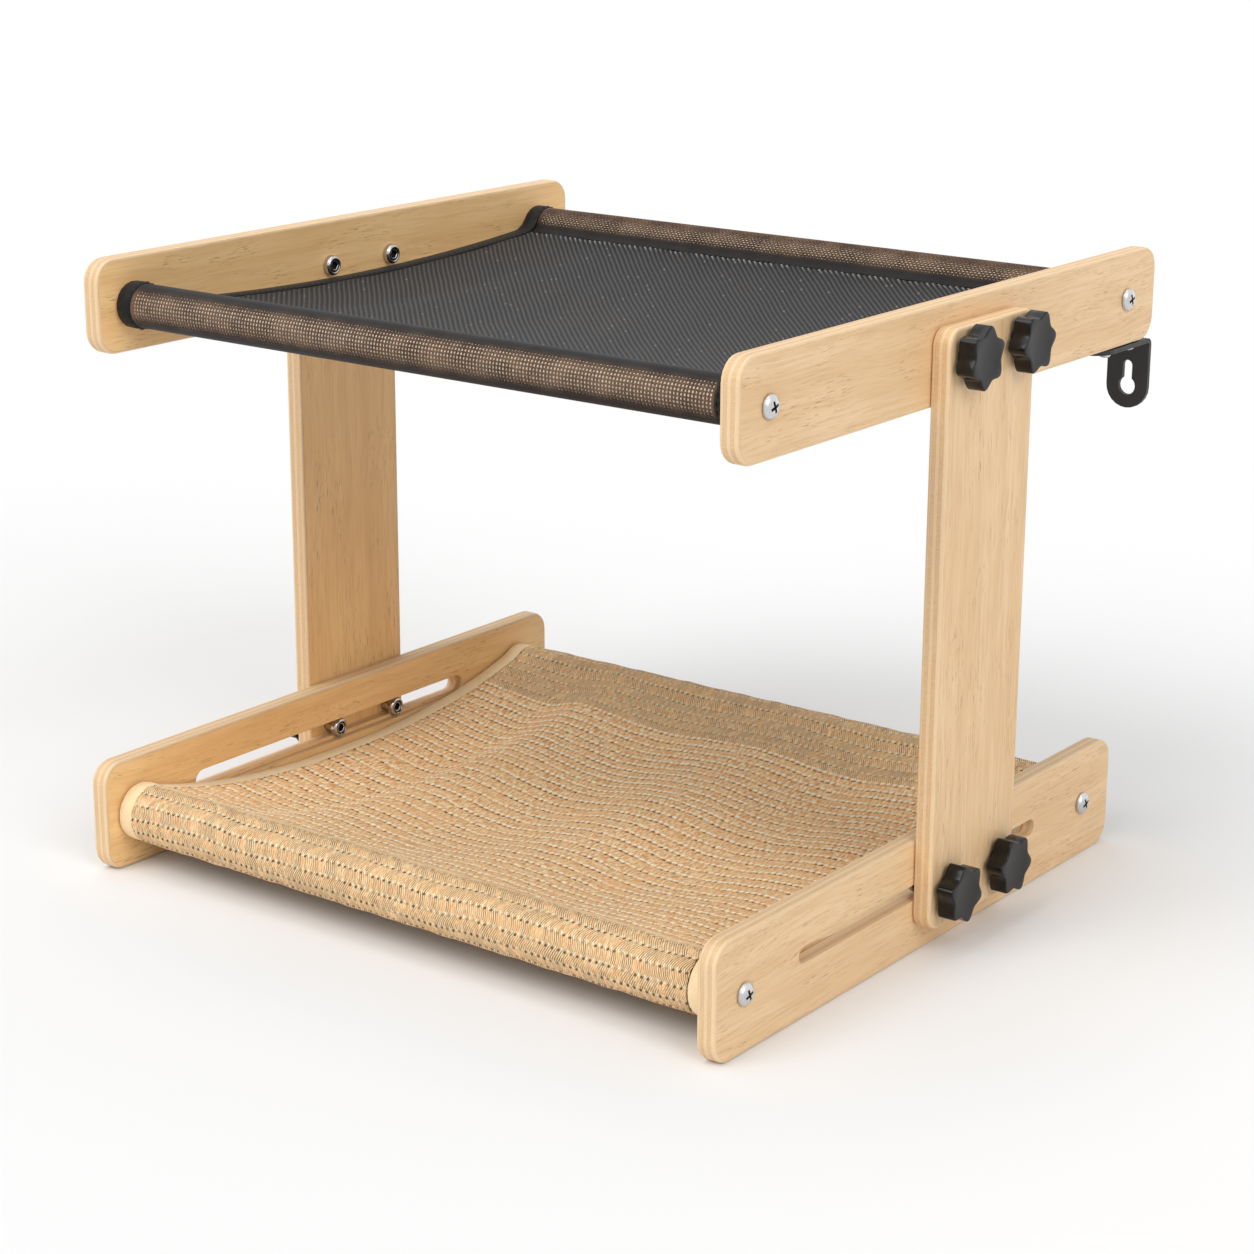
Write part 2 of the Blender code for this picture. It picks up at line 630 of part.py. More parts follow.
def bracket_mesh(name, side, material):
    bm = bmesh.new()
    half = BRACKET_WIDTH / 2
    outer = BRACKET_INNER_BEND_RADIUS + BRACKET_THICKNESS
    plate_end = BRACKET_DROP - SEAT_GAP - outer
    length = plate_end + outer * math.pi / 2 + BRACKET_FLANGE_LENGTH - outer
    outline = arc(half, math.pi, 2 * math.pi, 2 * CORNER_STEPS, 0.0, half)
    outline += arc(half, 0.0, math.pi, 2 * CORNER_STEPS, 0.0, length - half)
    holes = [[(u, v + half) for u, v in keyhole(KEYHOLE_DIAMETER / 2, KEYHOLE_SLOT_WIDTH / 2,
                                                KEYHOLE_SLOT_RISE, HOLE_STEPS)]]
    hole_x = side * (half - BOARD_THICKNESS / 2)
    for y in bracket_screw_places():
        holes.append(circle(BRACKET_SCREW_DIAMETER / 2 + BRACKET_SCREW_CLEARANCE, SHANK_STEPS, hole_x,
                            length - BRACKET_FLANGE_LENGTH - y))
    faces = []
    for depth in (0.0, BRACKET_THICKNESS):
        rings = [[bm.verts.new((u, v, depth)) for u, v in shape] for shape in [outline] + holes]
        cap(bm, *rings)
        faces.append(rings)
    for first, second in zip(*faces):
        skin(bm, first, second)
    for step in range(BEND_STEPS + 1):
        line = plate_end + outer * math.pi / 2 * step / BEND_STEPS
        bmesh.ops.bisect_plane(bm, geom=bm.verts[:] + bm.edges[:] + bm.faces[:],
                               plane_co=(0.0, line, 0.0), plane_no=(0.0, 1.0, 0.0))
    for vert in bm.verts:
        y, z = fold_strip(vert.co.y, vert.co.z)
        vert.co = (vert.co.x, y, z)
    return finished_mesh(name, bm, material)


def make_bracket(label, side, steel, screw_steel, parent):
    corner_y = OVERALL_DEPTH / 2
    corner_z = OVERALL_HEIGHT - UPPER_RAIL_HEIGHT
    outer_face = INNER_WIDTH / 2 + BOARD_THICKNESS
    name = "wall_bracket_" + label
    place(name, bracket_mesh(name, side, steel),
          (side * (outer_face - BRACKET_WIDTH / 2), corner_y, corner_z), parent)
    seat_z = corner_z - BRACKET_THICKNESS - 2 * SEAT_GAP
    for (end, _), y in zip(ENDS, bracket_screw_places()):
        mesh = screw_mesh("bracket_screw", BRACKET_SCREW_DIAMETER, BRACKET_SCREW_LENGTH,
                          BRACKET_SCREW_DIAMETER, BRACKET_SCREW_HEAD_DIAMETER, BRACKET_SCREW_HEAD_HEIGHT,
                          SHANK_STEPS, screw_steel)
        screw = place(f"bracket_screw_{end}_{label}", mesh, (side * RAIL_X, corner_y + y, seat_z), parent)
        screw.rotation_euler = (0.0, math.pi / 2, 0.0)


# Tiers and clamps

def make_tier(prefix, bed_y, rail_z, half_span, dowel, screw, parent):
    """The dowels of one tier and the screws that hold them between the rails."""
    outer_face = INNER_WIDTH / 2 + BOARD_THICKNESS + SEAT_GAP
    for end_label, end in ENDS:
        y = bed_y + end * half_span
        place(f"{prefix}_dowel_{end_label}", dowel, (0.0, y, rail_z), parent)
        for label, side in SIDES:
            place(f"{prefix}_screw_{end_label}_{label}", screw, (side * outer_face, y, rail_z), parent,
                  0.0 if side > 0 else math.pi)


def make_clamps(tier, seat_x, grip, rail_z, materials, parent):
    """Bolts, knobs and bushes at one end of both posts. They point outwards: those on the left are turned."""
    bolt = bolt_mesh("clamp_bolt_" + tier, grip, materials["zinc"])
    knob = knob_mesh(materials["knob"])
    bush = bush_mesh(materials["brass"])
    for end_label, end in ENDS:
        y = POST_Y + end * BOLT_SPACING / 2
        for label, side in SIDES:
            corner = f"{tier}_{end_label}_{label}"
            turn = 0.0 if side > 0 else math.pi
            place("clamp_bolt_" + corner, bolt, (side * seat_x, y, rail_z), parent, turn)
            knob_at = (side * (POST_OUTER_X + SEAT_GAP), y, rail_z)
            place("star_knob_" + corner, knob, knob_at, parent, turn)
            place("knob_bush_" + corner, bush, knob_at, parent, turn)


def make_materials():
    return {
        "ply": make_material("birch_ply", (0.76, 0.56, 0.34), 0.55),
        "dowel": make_material("beech_dowel", (0.66, 0.46, 0.28), 0.6),
        "mesh": make_material("black_mesh", (0.035, 0.035, 0.038), 0.75),
        "tape": make_material("black_tape", (0.02, 0.02, 0.022), 0.8),
        "sisal": make_material("woven_sisal", (0.62, 0.45, 0.25), 0.85),
        "cotton": make_material("cotton_tape", (0.60, 0.47, 0.30), 0.85),
        "zinc": make_material("zinc_plated_steel", (0.62, 0.62, 0.62), 0.25, 1.0),
        "knob": make_material("black_plastic", (0.012, 0.012, 0.013), 0.3),
        "brass": make_material("brass", (0.78, 0.57, 0.25), 0.35, 1.0),
        "steel": make_material("black_painted_steel", (0.018, 0.018, 0.02), 0.45),
    }


def build():
    clear_scene()
    materials = make_materials()
    lower = place("lower_tier", None, (0.0, LOWER_RAIL_Y, 0.0))
    upper = place("sliding_tier", None, (0.0, POST_Y, LOWER_CLAMP_Z), lower)

    dowel = dowel_mesh(materials["dowel"])
    screw = screw_mesh("dowel_screw", SCREW_DIAMETER, SCREW_LENGTH - SEAT_GAP, SCREW_TIP_LENGTH,
                       SCREW_HEAD_DIAMETER, SCREW_HEAD_HEIGHT, HEAD_STEPS, materials["zinc"])
    make_tier("lower", LOWER_BED_Y, LOWER_RAIL_Z, LOWER_HALF_SPAN, dowel, screw, lower)
    make_tier("upper", UPPER_BED_Y, UPPER_RAIL_Z, UPPER_HALF_SPAN, dowel, screw, upper)
    for label, side in SIDES:
        make_lower_rail(label, side, materials["ply"], lower)
        make_upper_rail(label, side, materials["ply"], upper)
        make_post(label, side, materials["ply"], upper)
        make_bracket(label, side, materials["steel"], materials["zinc"], upper)
    make_bed("sisal", SISAL_BED, LOWER_BED_Y, LOWER_RAIL_Z, materials["sisal"], materials["cotton"], lower)
    make_bed("mesh", MESH_BED, UPPER_BED_Y, UPPER_RAIL_Z, materials["mesh"], materials["tape"], upper)

    upper_seat = INNER_WIDTH / 2 - SEAT_GAP
    lower_seat = INNER_WIDTH / 2 + POCKET_DEPTH - SEAT_GAP
    make_clamps("upper", upper_seat, POST_OUTER_X - upper_seat, UPPER_RAIL_Z, materials, upper)
    make_clamps("lower", lower_seat, POST_OUTER_X - lower_seat, LOWER_CLAMP_Z, materials, upper)


build()
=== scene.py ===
"""The look of the two-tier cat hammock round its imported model: birch ply boards, a woven sisal bed, a black
mesh bed, sewn bindings, star knobs and fastenings, on a pale floor in soft light. Metres, Z up, front at -Y.
"""
import math
from collections import namedtuple

import bmesh
import bpy
import numpy as np
from mathutils import Matrix, Vector


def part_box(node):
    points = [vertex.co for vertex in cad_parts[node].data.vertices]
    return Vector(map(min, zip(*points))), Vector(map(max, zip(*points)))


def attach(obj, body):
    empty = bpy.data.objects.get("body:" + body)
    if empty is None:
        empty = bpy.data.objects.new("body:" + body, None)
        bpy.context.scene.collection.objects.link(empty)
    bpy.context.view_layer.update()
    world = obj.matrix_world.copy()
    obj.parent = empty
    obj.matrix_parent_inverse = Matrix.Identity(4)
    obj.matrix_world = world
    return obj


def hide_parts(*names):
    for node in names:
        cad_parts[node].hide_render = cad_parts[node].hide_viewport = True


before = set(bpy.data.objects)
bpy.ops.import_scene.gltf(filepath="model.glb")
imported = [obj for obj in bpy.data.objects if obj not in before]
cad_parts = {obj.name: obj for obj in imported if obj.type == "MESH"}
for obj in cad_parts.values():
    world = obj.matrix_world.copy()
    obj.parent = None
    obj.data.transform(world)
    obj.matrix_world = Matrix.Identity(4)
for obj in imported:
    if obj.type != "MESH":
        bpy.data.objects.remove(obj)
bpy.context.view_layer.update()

MM = 0.001
SEED = 7
UV_MAP = "OFBake"
SIDES = (("left", -1), ("right", 1))
ENDS = (("front", -1), ("rear", 1))
WHITE = (1.0, 1.0, 1.0, 1.0)


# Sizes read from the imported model

def middle(node):
    low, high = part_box(node)
    return (low + high) / 2


def size(node):
    low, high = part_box(node)
    return high - low


RAIL_INNER_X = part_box("lower_rail_right")[0].x
POST_INNER_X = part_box("post_right")[0].x
BOARD_THICKNESS = size("lower_rail_right").x
DOWEL_RADIUS = size("upper_dowel_front").z / 2
CLOTH_HALF_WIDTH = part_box("sisal_bed")[1].x
BINDING_INNER_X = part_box("sisal_binding_right")[0].x
BINDING_OUTER_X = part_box("sisal_binding_right")[1].x

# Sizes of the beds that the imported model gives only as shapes
BORE_CLEARANCE = 0.3 * MM
Bed = namedtuple("Bed", "tier thickness roll middle end power belly folds top_fillet lower_fillet cover")
SISAL_BED = Bed("lower", 5.0 * MM, DOWEL_RADIUS + 5.3 * MM, -8.5 * MM, 17.2 * MM, 2.4, 4.0 * MM, 5.5 * MM,
                30 * MM, 10 * MM, 0.5 * MM)
MESH_BED = Bed("upper", 1.4 * MM, DOWEL_RADIUS + 0.8 * MM, -8.5 * MM, 1.0 * MM, 2.0, 4.0 * MM, 0.6 * MM,
               6 * MM, 5 * MM, 0.9 * MM)
MESH_EDGE = MESH_BED._replace(top_fillet=15 * MM)

# Points along each stretch of a bed's section, and the halvings that find where its fillets touch
FACE_POINTS = 60
UPPER_FILLET_POINTS = 16
ROLL_POINTS = 60
LOWER_FILLET_POINTS = 12
UNDERSIDE_POINTS = 50
HALVINGS = 30

# Parts of the square map that the faces of a cloth take: (left, low, right, high), or heights
MAT_MAP = (0.01, 0.01, 0.99, 0.91)
BINDING_MAP = (0.01, 0.01, 0.60, 0.91)
BORE_MAPS = ((0.01, 0.93, 0.99, 0.95), (0.01, 0.96, 0.99, 0.98))
MAP_LOW = 0.01
MAP_HEIGHT = 0.47
MAP_LIFT = 0.48
ROW_END_HEIGHTS = (0.97, 0.97, 0.98, 0.98)
SIDE_HEIGHTS = (0.985, 0.99)
HOLE_WALL_HEIGHT = 0.001

# Soft folds from left to right, as shares of the cloth's half width and of the folds' height
FOLD_LINE = ((-1.0, 0.0), (-0.74, -1.0), (-0.58, 1.0), (-0.24, -0.6), (0.09, 0.8), (0.42, -0.6), (0.77, 0.6),
             (1.0, 0.0))

# Weave of the sisal mat
ROW_PITCH = {"plain": 12.6 * MM, "close": 9.0 * MM, "smooth": 9.0 * MM, "braid": 8.6 * MM, "under": 16.0 * MM}
ROW_SHARES = {"plain": (0.0, 0.08, 0.16, 0.27, 0.50, 0.80), "close": (0.0, 0.11, 0.22, 0.34, 0.58, 0.84),
              "smooth": (0.0, 0.3, 0.7), "braid": (0.0, 0.14, 0.36, 0.60, 0.84), "under": (0.0,)}
MAT_LAYERS = ("row", "braid", "smooth", "length", "pitch")
STITCH_PITCH = CLOTH_HALF_WIDTH / 48
STATIONS_PER_STITCH = 3
ROW_SHIFT = 0.37
THREAD_REACH = 0.12
GAP_SHARE = 0.17
GAP_REACH = 0.10
REAR_BRAID = 42 * MM
CLOSE_ROWS_TO = 40 * MM
SMOOTH_TO = 9 * MM
ROW_WANDER = 0.9 * MM
PUCKER = 0.35 * MM
THREAD_HEIGHT = 0.65 * MM
BAND_HEIGHT = 0.35 * MM
BRAID_HEIGHT = 0.75 * MM
GAP_DEPTH = 0.7 * MM

# Its finer marks, one oval to a stitch; luck turns a chance from low to high into a strength from least to most
Oval = namedtuple("Oval", "half_length half_width offset soft luck")
# The bead ovals paint pale highlights on the thread's beads, the gap oval paints shade in the gap below each
# thread, and the knot oval paints dark knots.
BEAD_HIGHLIGHT = Oval(1.8 * MM, 1.4 * MM, 0.0, 0.35, (0.0, 0.75, 0.42, 1.0))
GAP_SHADE = Oval(1.3 * MM, 1.15 * MM, 2.05 * MM, 0.2, (0.1, 0.7, 0.25, 1.0))
KNOT = Oval(1.05 * MM, 1.0 * MM, 0.9 * MM, 0.2, (0.0, 0.6, 0.35, 1.0))
BRAID_BEAD_HIGHLIGHT = Oval(1.6 * MM, 1.5 * MM, 0.0, 0.2, (0.0, 1.0, 1.0, 1.0))
MARK_WANDER = 0.6 * MM
BEAD_LEAN = math.tan(math.radians(27))
GAP_TURN = 0.34
KNOT_TURN = 0.5
STRAND_SLANT = 1.1
STRANDS_PER_STITCH = 3.0
STRAW_SCALES = (950.0, 170.0, 1.0)

# Weave of the mesh
RIB_PITCH = 3.1 * MM
RIB_TURN = math.radians(43)
RIB_HEIGHT = 0.30 * MM
RIB_WANDER = 0.5 * MM
RIB_STITCH = 1.7 * MM
STATIONS_PER_RIB = 4
UNDERSIDE_RIB_SHARE = -0.6
SHEET_STEP = 8 * MM
SHEET_TUCK = 8 * MM
SHEET_DROP = 1.0 * MM
SEAM_BAND = 4 * MM
Sleeve = namedtuple("Sleeve", "width length shift share top_angle low_angle")
# Below low_angle a sleeve is closed and black: partly its hem, partly painted shade on the roll's underside.
SLEEVES = {"front": Sleeve(2.3 * MM, 2.35 * MM, 0.0, 0.62, 62, -38),
           "rear": Sleeve(2.9 * MM, 1.55 * MM, 0.5, 0.60, 172, -50)}
HOLE_VARIATION = 0.08
HOLE_SHARES_AT_BAND = {1: 0.78, 2: 0.92}
SLEEVE_STRIPS = 9
PAINTED_LIGHT_FADE = 22
SLEEVE_THICKNESS = 0.55 * MM
THREAD_ROUND = 0.12 * MM

# Bindings and their stitches
BINDING_EDGE_SHARES = ((0.0, 1.0), (0.02, 0.45), (0.08, 0.1), (0.5, 0.0), (0.92, 0.1), (0.98, 0.45), (1.0, 1.0))
BINDING_EDGE_DROP = 0.9 * MM
BINDING_STEP = 4.5 * MM
STITCH_PROFILE = ((-0.5, 0.35, 0.9), (-0.3, 0.95, 0.15), (0.0, 1.0, 0.0), (0.3, 0.95, 0.15), (0.5, 0.35, 0.9))
STITCH_SIDES = 6
STITCH_LENGTH = 3.4 * MM
STITCH_RADIUS = 0.32 * MM
STITCH_INSET = 1.6 * MM
STITCH_SLANT = 0.12
STITCH_SEED = SEED + 11
STITCH_LOOK_AHEAD = 0.5 * MM
MESH_STITCH_STEP = 5.0 * MM
SISAL_STITCH_STEP = 6.2 * MM

# Dowels and screws
DOWEL_EASE = 0.8 * MM
DOWEL_BORE_DEPTH = 32 * MM
DOWEL_BORE_PLAY = 0.4 * MM
SCREW_HEAD_PER_SHANK = 2.8
DOWEL_SCREW_SHANK = 2.5 * MM
BRACKET_SCREW_SHANK = 1.75 * MM
BRACKET_SCREW_HEAD = 2.4 * MM
BRACKET_RECESS_SHARE = 0.58
SCREW_TIP = 4 * MM
RECESS_SPAN = 7.2 * MM
RECESS_WIDTH = 1.7 * MM
RECESS_DEPTH = 2.2 * MM
RECESS_TURN = math.radians(20)
RECESS_TAPER = 0.45
RECESS_FLOOR_SHARE = 0.86
PAN_PROFILE = ((0.94, 0.0), (1.0, 0.06), (1.0, 0.26), (0.96, 0.46), (0.88, 0.64), (0.76, 0.80), (0.58, 0.92),
               (0.34, 0.98))

# Clamp bolts and knobs
BOLT_HEAD_HEIGHT = 4.2 * MM
BOLT_RADIUS = 4.0 * MM
BOLT_TIP = 1.0 * MM
SOCKET_SIDES = 6
SOCKET_ACROSS = 5.0 * MM
SOCKET_DEPTH = 2.6 * MM
SOCKET_CHAMFER = 0.25 * MM
BUTTON_PROFILE = ((0.495, 0.90), (0.52, 0.82), (0.62, 0.82), (0.65, 0.90), (0.69, 0.98), (0.75, 1.0),
                  (0.84, 0.95), (0.92, 0.82), (0.97, 0.58), (0.995, 0.30), (1.0, 0.12), (0.985, 0.0))
# The groove between these shares of the head's radius is painted in the darker chrome: painted shade.
BUTTON_SHADED_GROOVE = (0.53, 0.66)
KNOB_LOBES = 6
KNOB_FLUTE_SHARE = 0.22
KNOB_LOBE_BREADTH = 0.8
KNOB_FOOT_EASE = 0.6 * MM
KNOB_FACE_RADIUS = 0.9 * MM
KNOB_FACE_STEPS = 5
KNOB_FACE_SHARES = (0.9, 0.78, 0.64, 0.5, 0.36, 0.22, 0.08)
KNOB_DISH = 0.6 * MM
KNOB_HUB_SHARE = 0.58
KNOB_HUB_HEIGHT = 2.5 * MM
KNOB_STEPS_PER_LOBE = 22
KNOB_ANGLES = (48, 21, 12, 7, 33, 40, 26, 52)
BUSH_PLAY = 0.3 * MM
ROUND_STEPS = 48
SHARP_ANGLE = 35.0

# Heights of relief that the finishes give
WOOD_RELIEF = 0.05 * MM
METAL_RELIEF = 0.004 * MM
PLASTIC_RELIEF = 0.01 * MM
PAINT_RELIEF = 0.03 * MM
THREAD_RELIEF = 0.05 * MM
BLACK_TAPE_RELIEF = 0.06 * MM
COTTON_RELIEF = 0.07 * MM
SLEEVE_RELIEF = 0.15 * MM
SHEET_RELIEF = 0.2 * MM
SISAL_RELIEF = 0.65 * MM
COTTON_PITCH = 0.9 * MM
BLACK_TAPE_PITCH = 0.8 * MM
THREAD_PITCH = 0.4 * MM

# Camera, in the photograph's frame, and light; lamps are (name, direction, strength, angle in degrees)
CAMERA_PLACE = (1.0395, -1.3707, 0.6661)
CAMERA_YAW = math.radians(37.064)
CAMERA_PITCH = math.radians(16.797)
CAMERA_ROLL = math.radians(0.229)
CAMERA_LENS_MM = 83.05
SENSOR_MM = 36.0
FLOOR_SIZE = 14.0
FLOOR_DROP = 0.1 * MM
FLOOR_GLOW = 0.01
WORLD_LIGHT = 0.50
LAMPS = (("top_light", (0.25, 0.0, -1.0), 0.62, 45),
         ("front_light", (0.25, 0.9, -0.95), 1.27, 40),
         ("side_light", (-1.0, 0.35, -0.75), 0.90, 35))


# Node helpers

class Value:
    """An output of a shader node. Sums with it make Math nodes in its tree."""

    def __init__(self, socket):
        self.socket = socket

    def __add__(self, other):
        return calc("ADD", self, other)

    def __sub__(self, other):
        return calc("SUBTRACT", self, other)

    def __rsub__(self, other):
        return calc("SUBTRACT", other, self)

    def __mul__(self, other):
        return calc("MULTIPLY", self, other)

    def __truediv__(self, other):
        return calc("DIVIDE", self, other)

    def __rtruediv__(self, other):
        return calc("DIVIDE", other, self)


def put(socket, value):
    """Links a value to the socket, or writes a plain number or colour into it."""
    if isinstance(value, Value):
        socket.id_data.links.new(value.socket, socket)
    else:
        socket.default_value = value


def tree_of(values):
    return next(value.socket.id_data for value in values if isinstance(value, Value))


def add(kind, inputs=None, output=0, tree=None, **settings):
    """One output of a new node, which goes into the tree of its inputs unless a tree is given."""
    inputs = inputs or {}
    node = (tree or tree_of(inputs.values())).nodes.new("ShaderNode" + kind)
    for name, value in settings.items():
        setattr(node, name, value)
    for name, value in inputs.items():
        put(node.inputs[name], value)
    return Value(node.outputs[output])


def calc(operation, *values):
    return add("Math", dict(enumerate(values)), operation=operation)


def mix(share, first, second):
    return add("Mix", {0: share, 6: first, 7: second}, 2, data_type="RGBA")


def layered(colour, *coats):
    """A colour under coats that are given as (share, colour)."""
    for share, coat in coats:
        colour = mix(share, colour, coat)
    return colour


def span(value, low, high, to_low=0.0, to_high=1.0):
    """A smooth step: value from low to high becomes to_low to to_high."""
    inputs = {"Value": value, "From Min": low, "From Max": high, "To Min": to_low, "To Max": to_high}
    return add("MapRange", inputs, "Result", interpolation_type="SMOOTHSTEP")


def joined(x, y, z):
    return add("CombineXYZ", {"X": x, "Y": y, "Z": z})


def parts_of(vector):
    """Its X, Y and Z."""
    return [Value(output) for output in add("SeparateXYZ", {0: vector}).socket.node.outputs]


def noise(vector, scale, detail=2.0, roughness=0.5):
    """Cloudy noise; three scales stretch it along the axes."""
    if isinstance(scale, tuple):
        vector = add("VectorMath", {0: vector, 1: scale}, operation="MULTIPLY")
        scale = 1.0
    return add("TexNoise", {"Vector": vector, "Scale": scale, "Detail": detail, "Roughness": roughness}, "Fac")


def srgb(red, green, blue):
    """A linear colour from the eight-bit values that it has on a screen."""
    shares = [value / 255 for value in (red, green, blue)]
    linear = [c / 12.92 if c <= 0.04045 else ((c + 0.055) / 1.055) ** 2.4 for c in shares]
    return (*linear, 1.0)


def group(name, build, inputs, outputs):
    """A shader group of what build makes from its inputs; sockets are given as label and kind, in order."""
    tree = bpy.data.node_groups.new(name, "ShaderNodeTree")
    for in_out, sockets in (("INPUT", inputs), ("OUTPUT", outputs)):
        for label, kind in sockets.items():
            tree.interface.new_socket(label, in_out=in_out, socket_type="NodeSocket" + kind)
    given = tree.nodes.new("NodeGroupInput").outputs[:len(inputs)]
    result = tree.nodes.new("NodeGroupOutput").inputs
    for socket, value in zip(result, build(*map(Value, given))):
        put(socket, value)
    return tree


def use(node_group, *inputs):
    """The outputs of a shader group for these inputs, both in order."""
    node = tree_of(inputs).nodes.new("ShaderNodeGroup")
    node.node_tree = node_group
    for socket, value in zip(node.inputs, inputs):
        put(socket, value)
    return [Value(output) for output in node.outputs]


def material(name, **constants):
    """A new material, its Principled shader with these constants, and places on the object."""
    made = bpy.data.materials.new(name)
    made.use_nodes = True
    shader = made.node_tree.nodes["Principled BSDF"]
    for label, value in constants.items():
        shader.inputs[label.replace("_", " ")].default_value = value
    return made, shader, add("TexCoord", output="Object", tree=made.node_tree)


def attribute(shader, name):
    return add("Attribute", output="Fac", tree=shader.id_data, attribute_name=name, attribute_type="GEOMETRY")


def feed(shader, colour, roughness, height, distance, strength):
    """Gives a shader its colour, roughness and relief."""
    put(shader.inputs["Base Color"], colour)
    put(shader.inputs["Roughness"], roughness)
    put(shader.inputs["Normal"], add("Bump", {"Height": height, "Distance": distance, "Strength": strength}))


def seen_rays(tree):
    """One for what the camera sees directly, in a reflection or through something clear."""
    rays = tree.nodes.new("ShaderNodeLightPath").outputs
    camera, glossy, clear = (Value(rays[f"Is {kind} Ray"]) for kind in ("Camera", "Glossy", "Transmission"))
    return calc("MAXIMUM", camera, calc("MAXIMUM", glossy, clear))


# Shader groups that several finishes share

def grain(place, colour, streak, patch, fleck):
    """Sawn birch. The place has the grain along its first axis."""
    bend = (noise(place, (7.0, 16.0, 16.0)) - 0.5) * 0.016
    bent = add("VectorMath", {0: place, 1: joined(0.0, bend, bend)}, operation="ADD")
    bands = span(noise(bent, (5.0, 85.0, 85.0), 3.0, 0.6), 0.38, 0.66)
    fine = span(noise(bent, (26.0, 620.0, 620.0), 4.0, 0.65), 0.42, 0.72)
    patches = span(noise(place, (9.0, 24.0, 24.0), 1.0), 0.46, 0.70)
    where = span(noise(place, (22.0, 60.0, 60.0), 1.0), 0.45, 0.62)
    flecks = span(noise(bent, (95.0, 1500.0, 1500.0), 1.0), 0.62, 0.72) * where
    colour = layered(colour, (bands * 0.55, patch), (fine * 0.42, streak), (patches * 0.35, patch),
                     (flecks * 0.68, fleck))
    return colour, fine - flecks * 0.4


def ply_edge(depth, thickness, place, face_share, face_colour):
    """The edge of a five-ply board. Depth is from its inner face, and the face share is 1 where the surface
    faces straight across the board."""
    waver = noise(place, (0.0, 55.0, 55.0)) - 0.5
    plies = depth / thickness * 5.0 + waver * 0.35
    odd = calc("PINGPONG", plies - 0.5, 1.0)
    glue = span(calc("ABSOLUTE", odd - 0.5), 0.03, 0.10, 1.0, 0.0)
    pores = noise(place, (500.0, 1400.0, 1400.0))
    lines = noise(place, (2600.0, 60.0, 60.0))
    rough = span((pores + lines) * 0.5, 0.40, 0.62)
    along = mix(rough * 0.35, srgb(237, 207, 166), srgb(222, 185, 139))
    end = mix(rough * 0.6, srgb(228, 193, 150), srgb(211, 171, 124))
    colour = layered(along, (span(odd, 0.42, 0.58), end), (glue * 0.24, srgb(178, 130, 84)))
    edge = span(face_share, 0.93, 0.985, 1.0, 0.0)
    return mix(edge, face_colour, colour), 1.0 - calc("MAXIMUM", glue, rough), edge


def handling_marks(place, low, high):
    """Smudges and fine scuffs, for roughness from low to high and slight changes of tone."""
    smudge = noise(place, 60.0, 3.0, 0.6)
    scuff = noise(place, (900.0, 900.0, 250.0), 2.0, 0.7)
    tone = span(smudge * 0.65 + scuff * 0.35, 0.36, 0.64)
    return tone * (high - low) + low, tone, noise(place, 1400.0, 2.0, 0.6)


def tape_weave(place, pitch):
    """A plain weave for tapes and threads, fine and slightly uneven."""
    turns = 2 * math.pi / pitch
    x, y, z = parts_of(place)
    weave = calc("SINE", x * turns) * calc("SINE", (y + z) * turns)
    loose = noise(place, 900.0)
    cloud = noise(place, 90.0, 3.0, 0.6)
    return weave * 0.5 + loose, span(cloud * 0.6 + loose * 0.4, 0.35, 0.65)


GRAIN = group("birch_grain", grain,
              {"Vector": "Vector", "Colour": "Color", "Streak": "Color", "Patch": "Color", "Fleck": "Color"},
              {"Colour": "Color", "Height": "Float"})
PLIES = group("ply_edges", ply_edge,
              {"Depth": "Float", "Thickness": "Float", "Vector": "Vector", "Face Share": "Float",
               "Face Colour": "Color"},
              {"Colour": "Color", "Height": "Float", "Edge": "Float"})
MARKS = group("handling_marks", handling_marks, {"Vector": "Vector", "Low": "Float", "High": "Float"},
              {"Roughness": "Float", "Tone": "Float", "Height": "Float"})
TAPE = group("tape_weave", tape_weave, {"Vector": "Vector", "Pitch": "Float"},
             {"Height": "Float", "Tone": "Float"})


# Finishes

def make_board(name, inner_x, upright):
    """Lacquered birch ply. The face grain runs up a post and along a rail; depth is counted from the inner
    face, on either side."""
    made, shader, place = material(name, Coat_Weight=0.12, Coat_Roughness=0.35, Specular_IOR_Level=0.4)
    x, y, z = parts_of(place)
    along, across = (z, y) if upright else (y, z)
    sign = calc("SIGN", x)
    side = sign * 0.35
    normal = parts_of(add("TexCoord", output="Normal", tree=shader.id_data))[0]
    # Faces towards the middle take paler, yellower colours than the outer faces: painted light on faces that
    # stand in more shade.
    outer_vs_painted_inner_light = span(normal * sign, -0.5, 0.5)
    face, fibres = use(GRAIN, joined(along + side, across, side * 0.6),
                       mix(outer_vs_painted_inner_light, srgb(255, 214, 154), srgb(240, 206, 161)),
                       mix(outer_vs_painted_inner_light, srgb(222, 170, 110), srgb(200, 156, 108)),
                       mix(outer_vs_painted_inner_light, srgb(240, 192, 130), srgb(224, 184, 134)), srgb(172, 124, 78))
    colour, plies, edge = use(PLIES, calc("ABSOLUTE", x) - inner_x, BOARD_THICKNESS, place,
                              calc("ABSOLUTE", normal), face)
    roughness, _, _ = use(MARKS, place, 0.40, 0.55)
    feed(shader, colour, edge * 0.12 + roughness, mix(edge, fibres, plies), WOOD_RELIEF, 0.7)
    return made


def make_dowel_finish():
    made, shader, place = material("beech_dowel", Specular_IOR_Level=0.3)
    colour, fibres = use(GRAIN, place, srgb(252, 238, 214), srgb(236, 208, 170), srgb(246, 226, 194),
                         srgb(206, 164, 120))
    feed(shader, colour, fibres * 0.1 + 0.55, fibres, WOOD_RELIEF, 0.6)
    return made


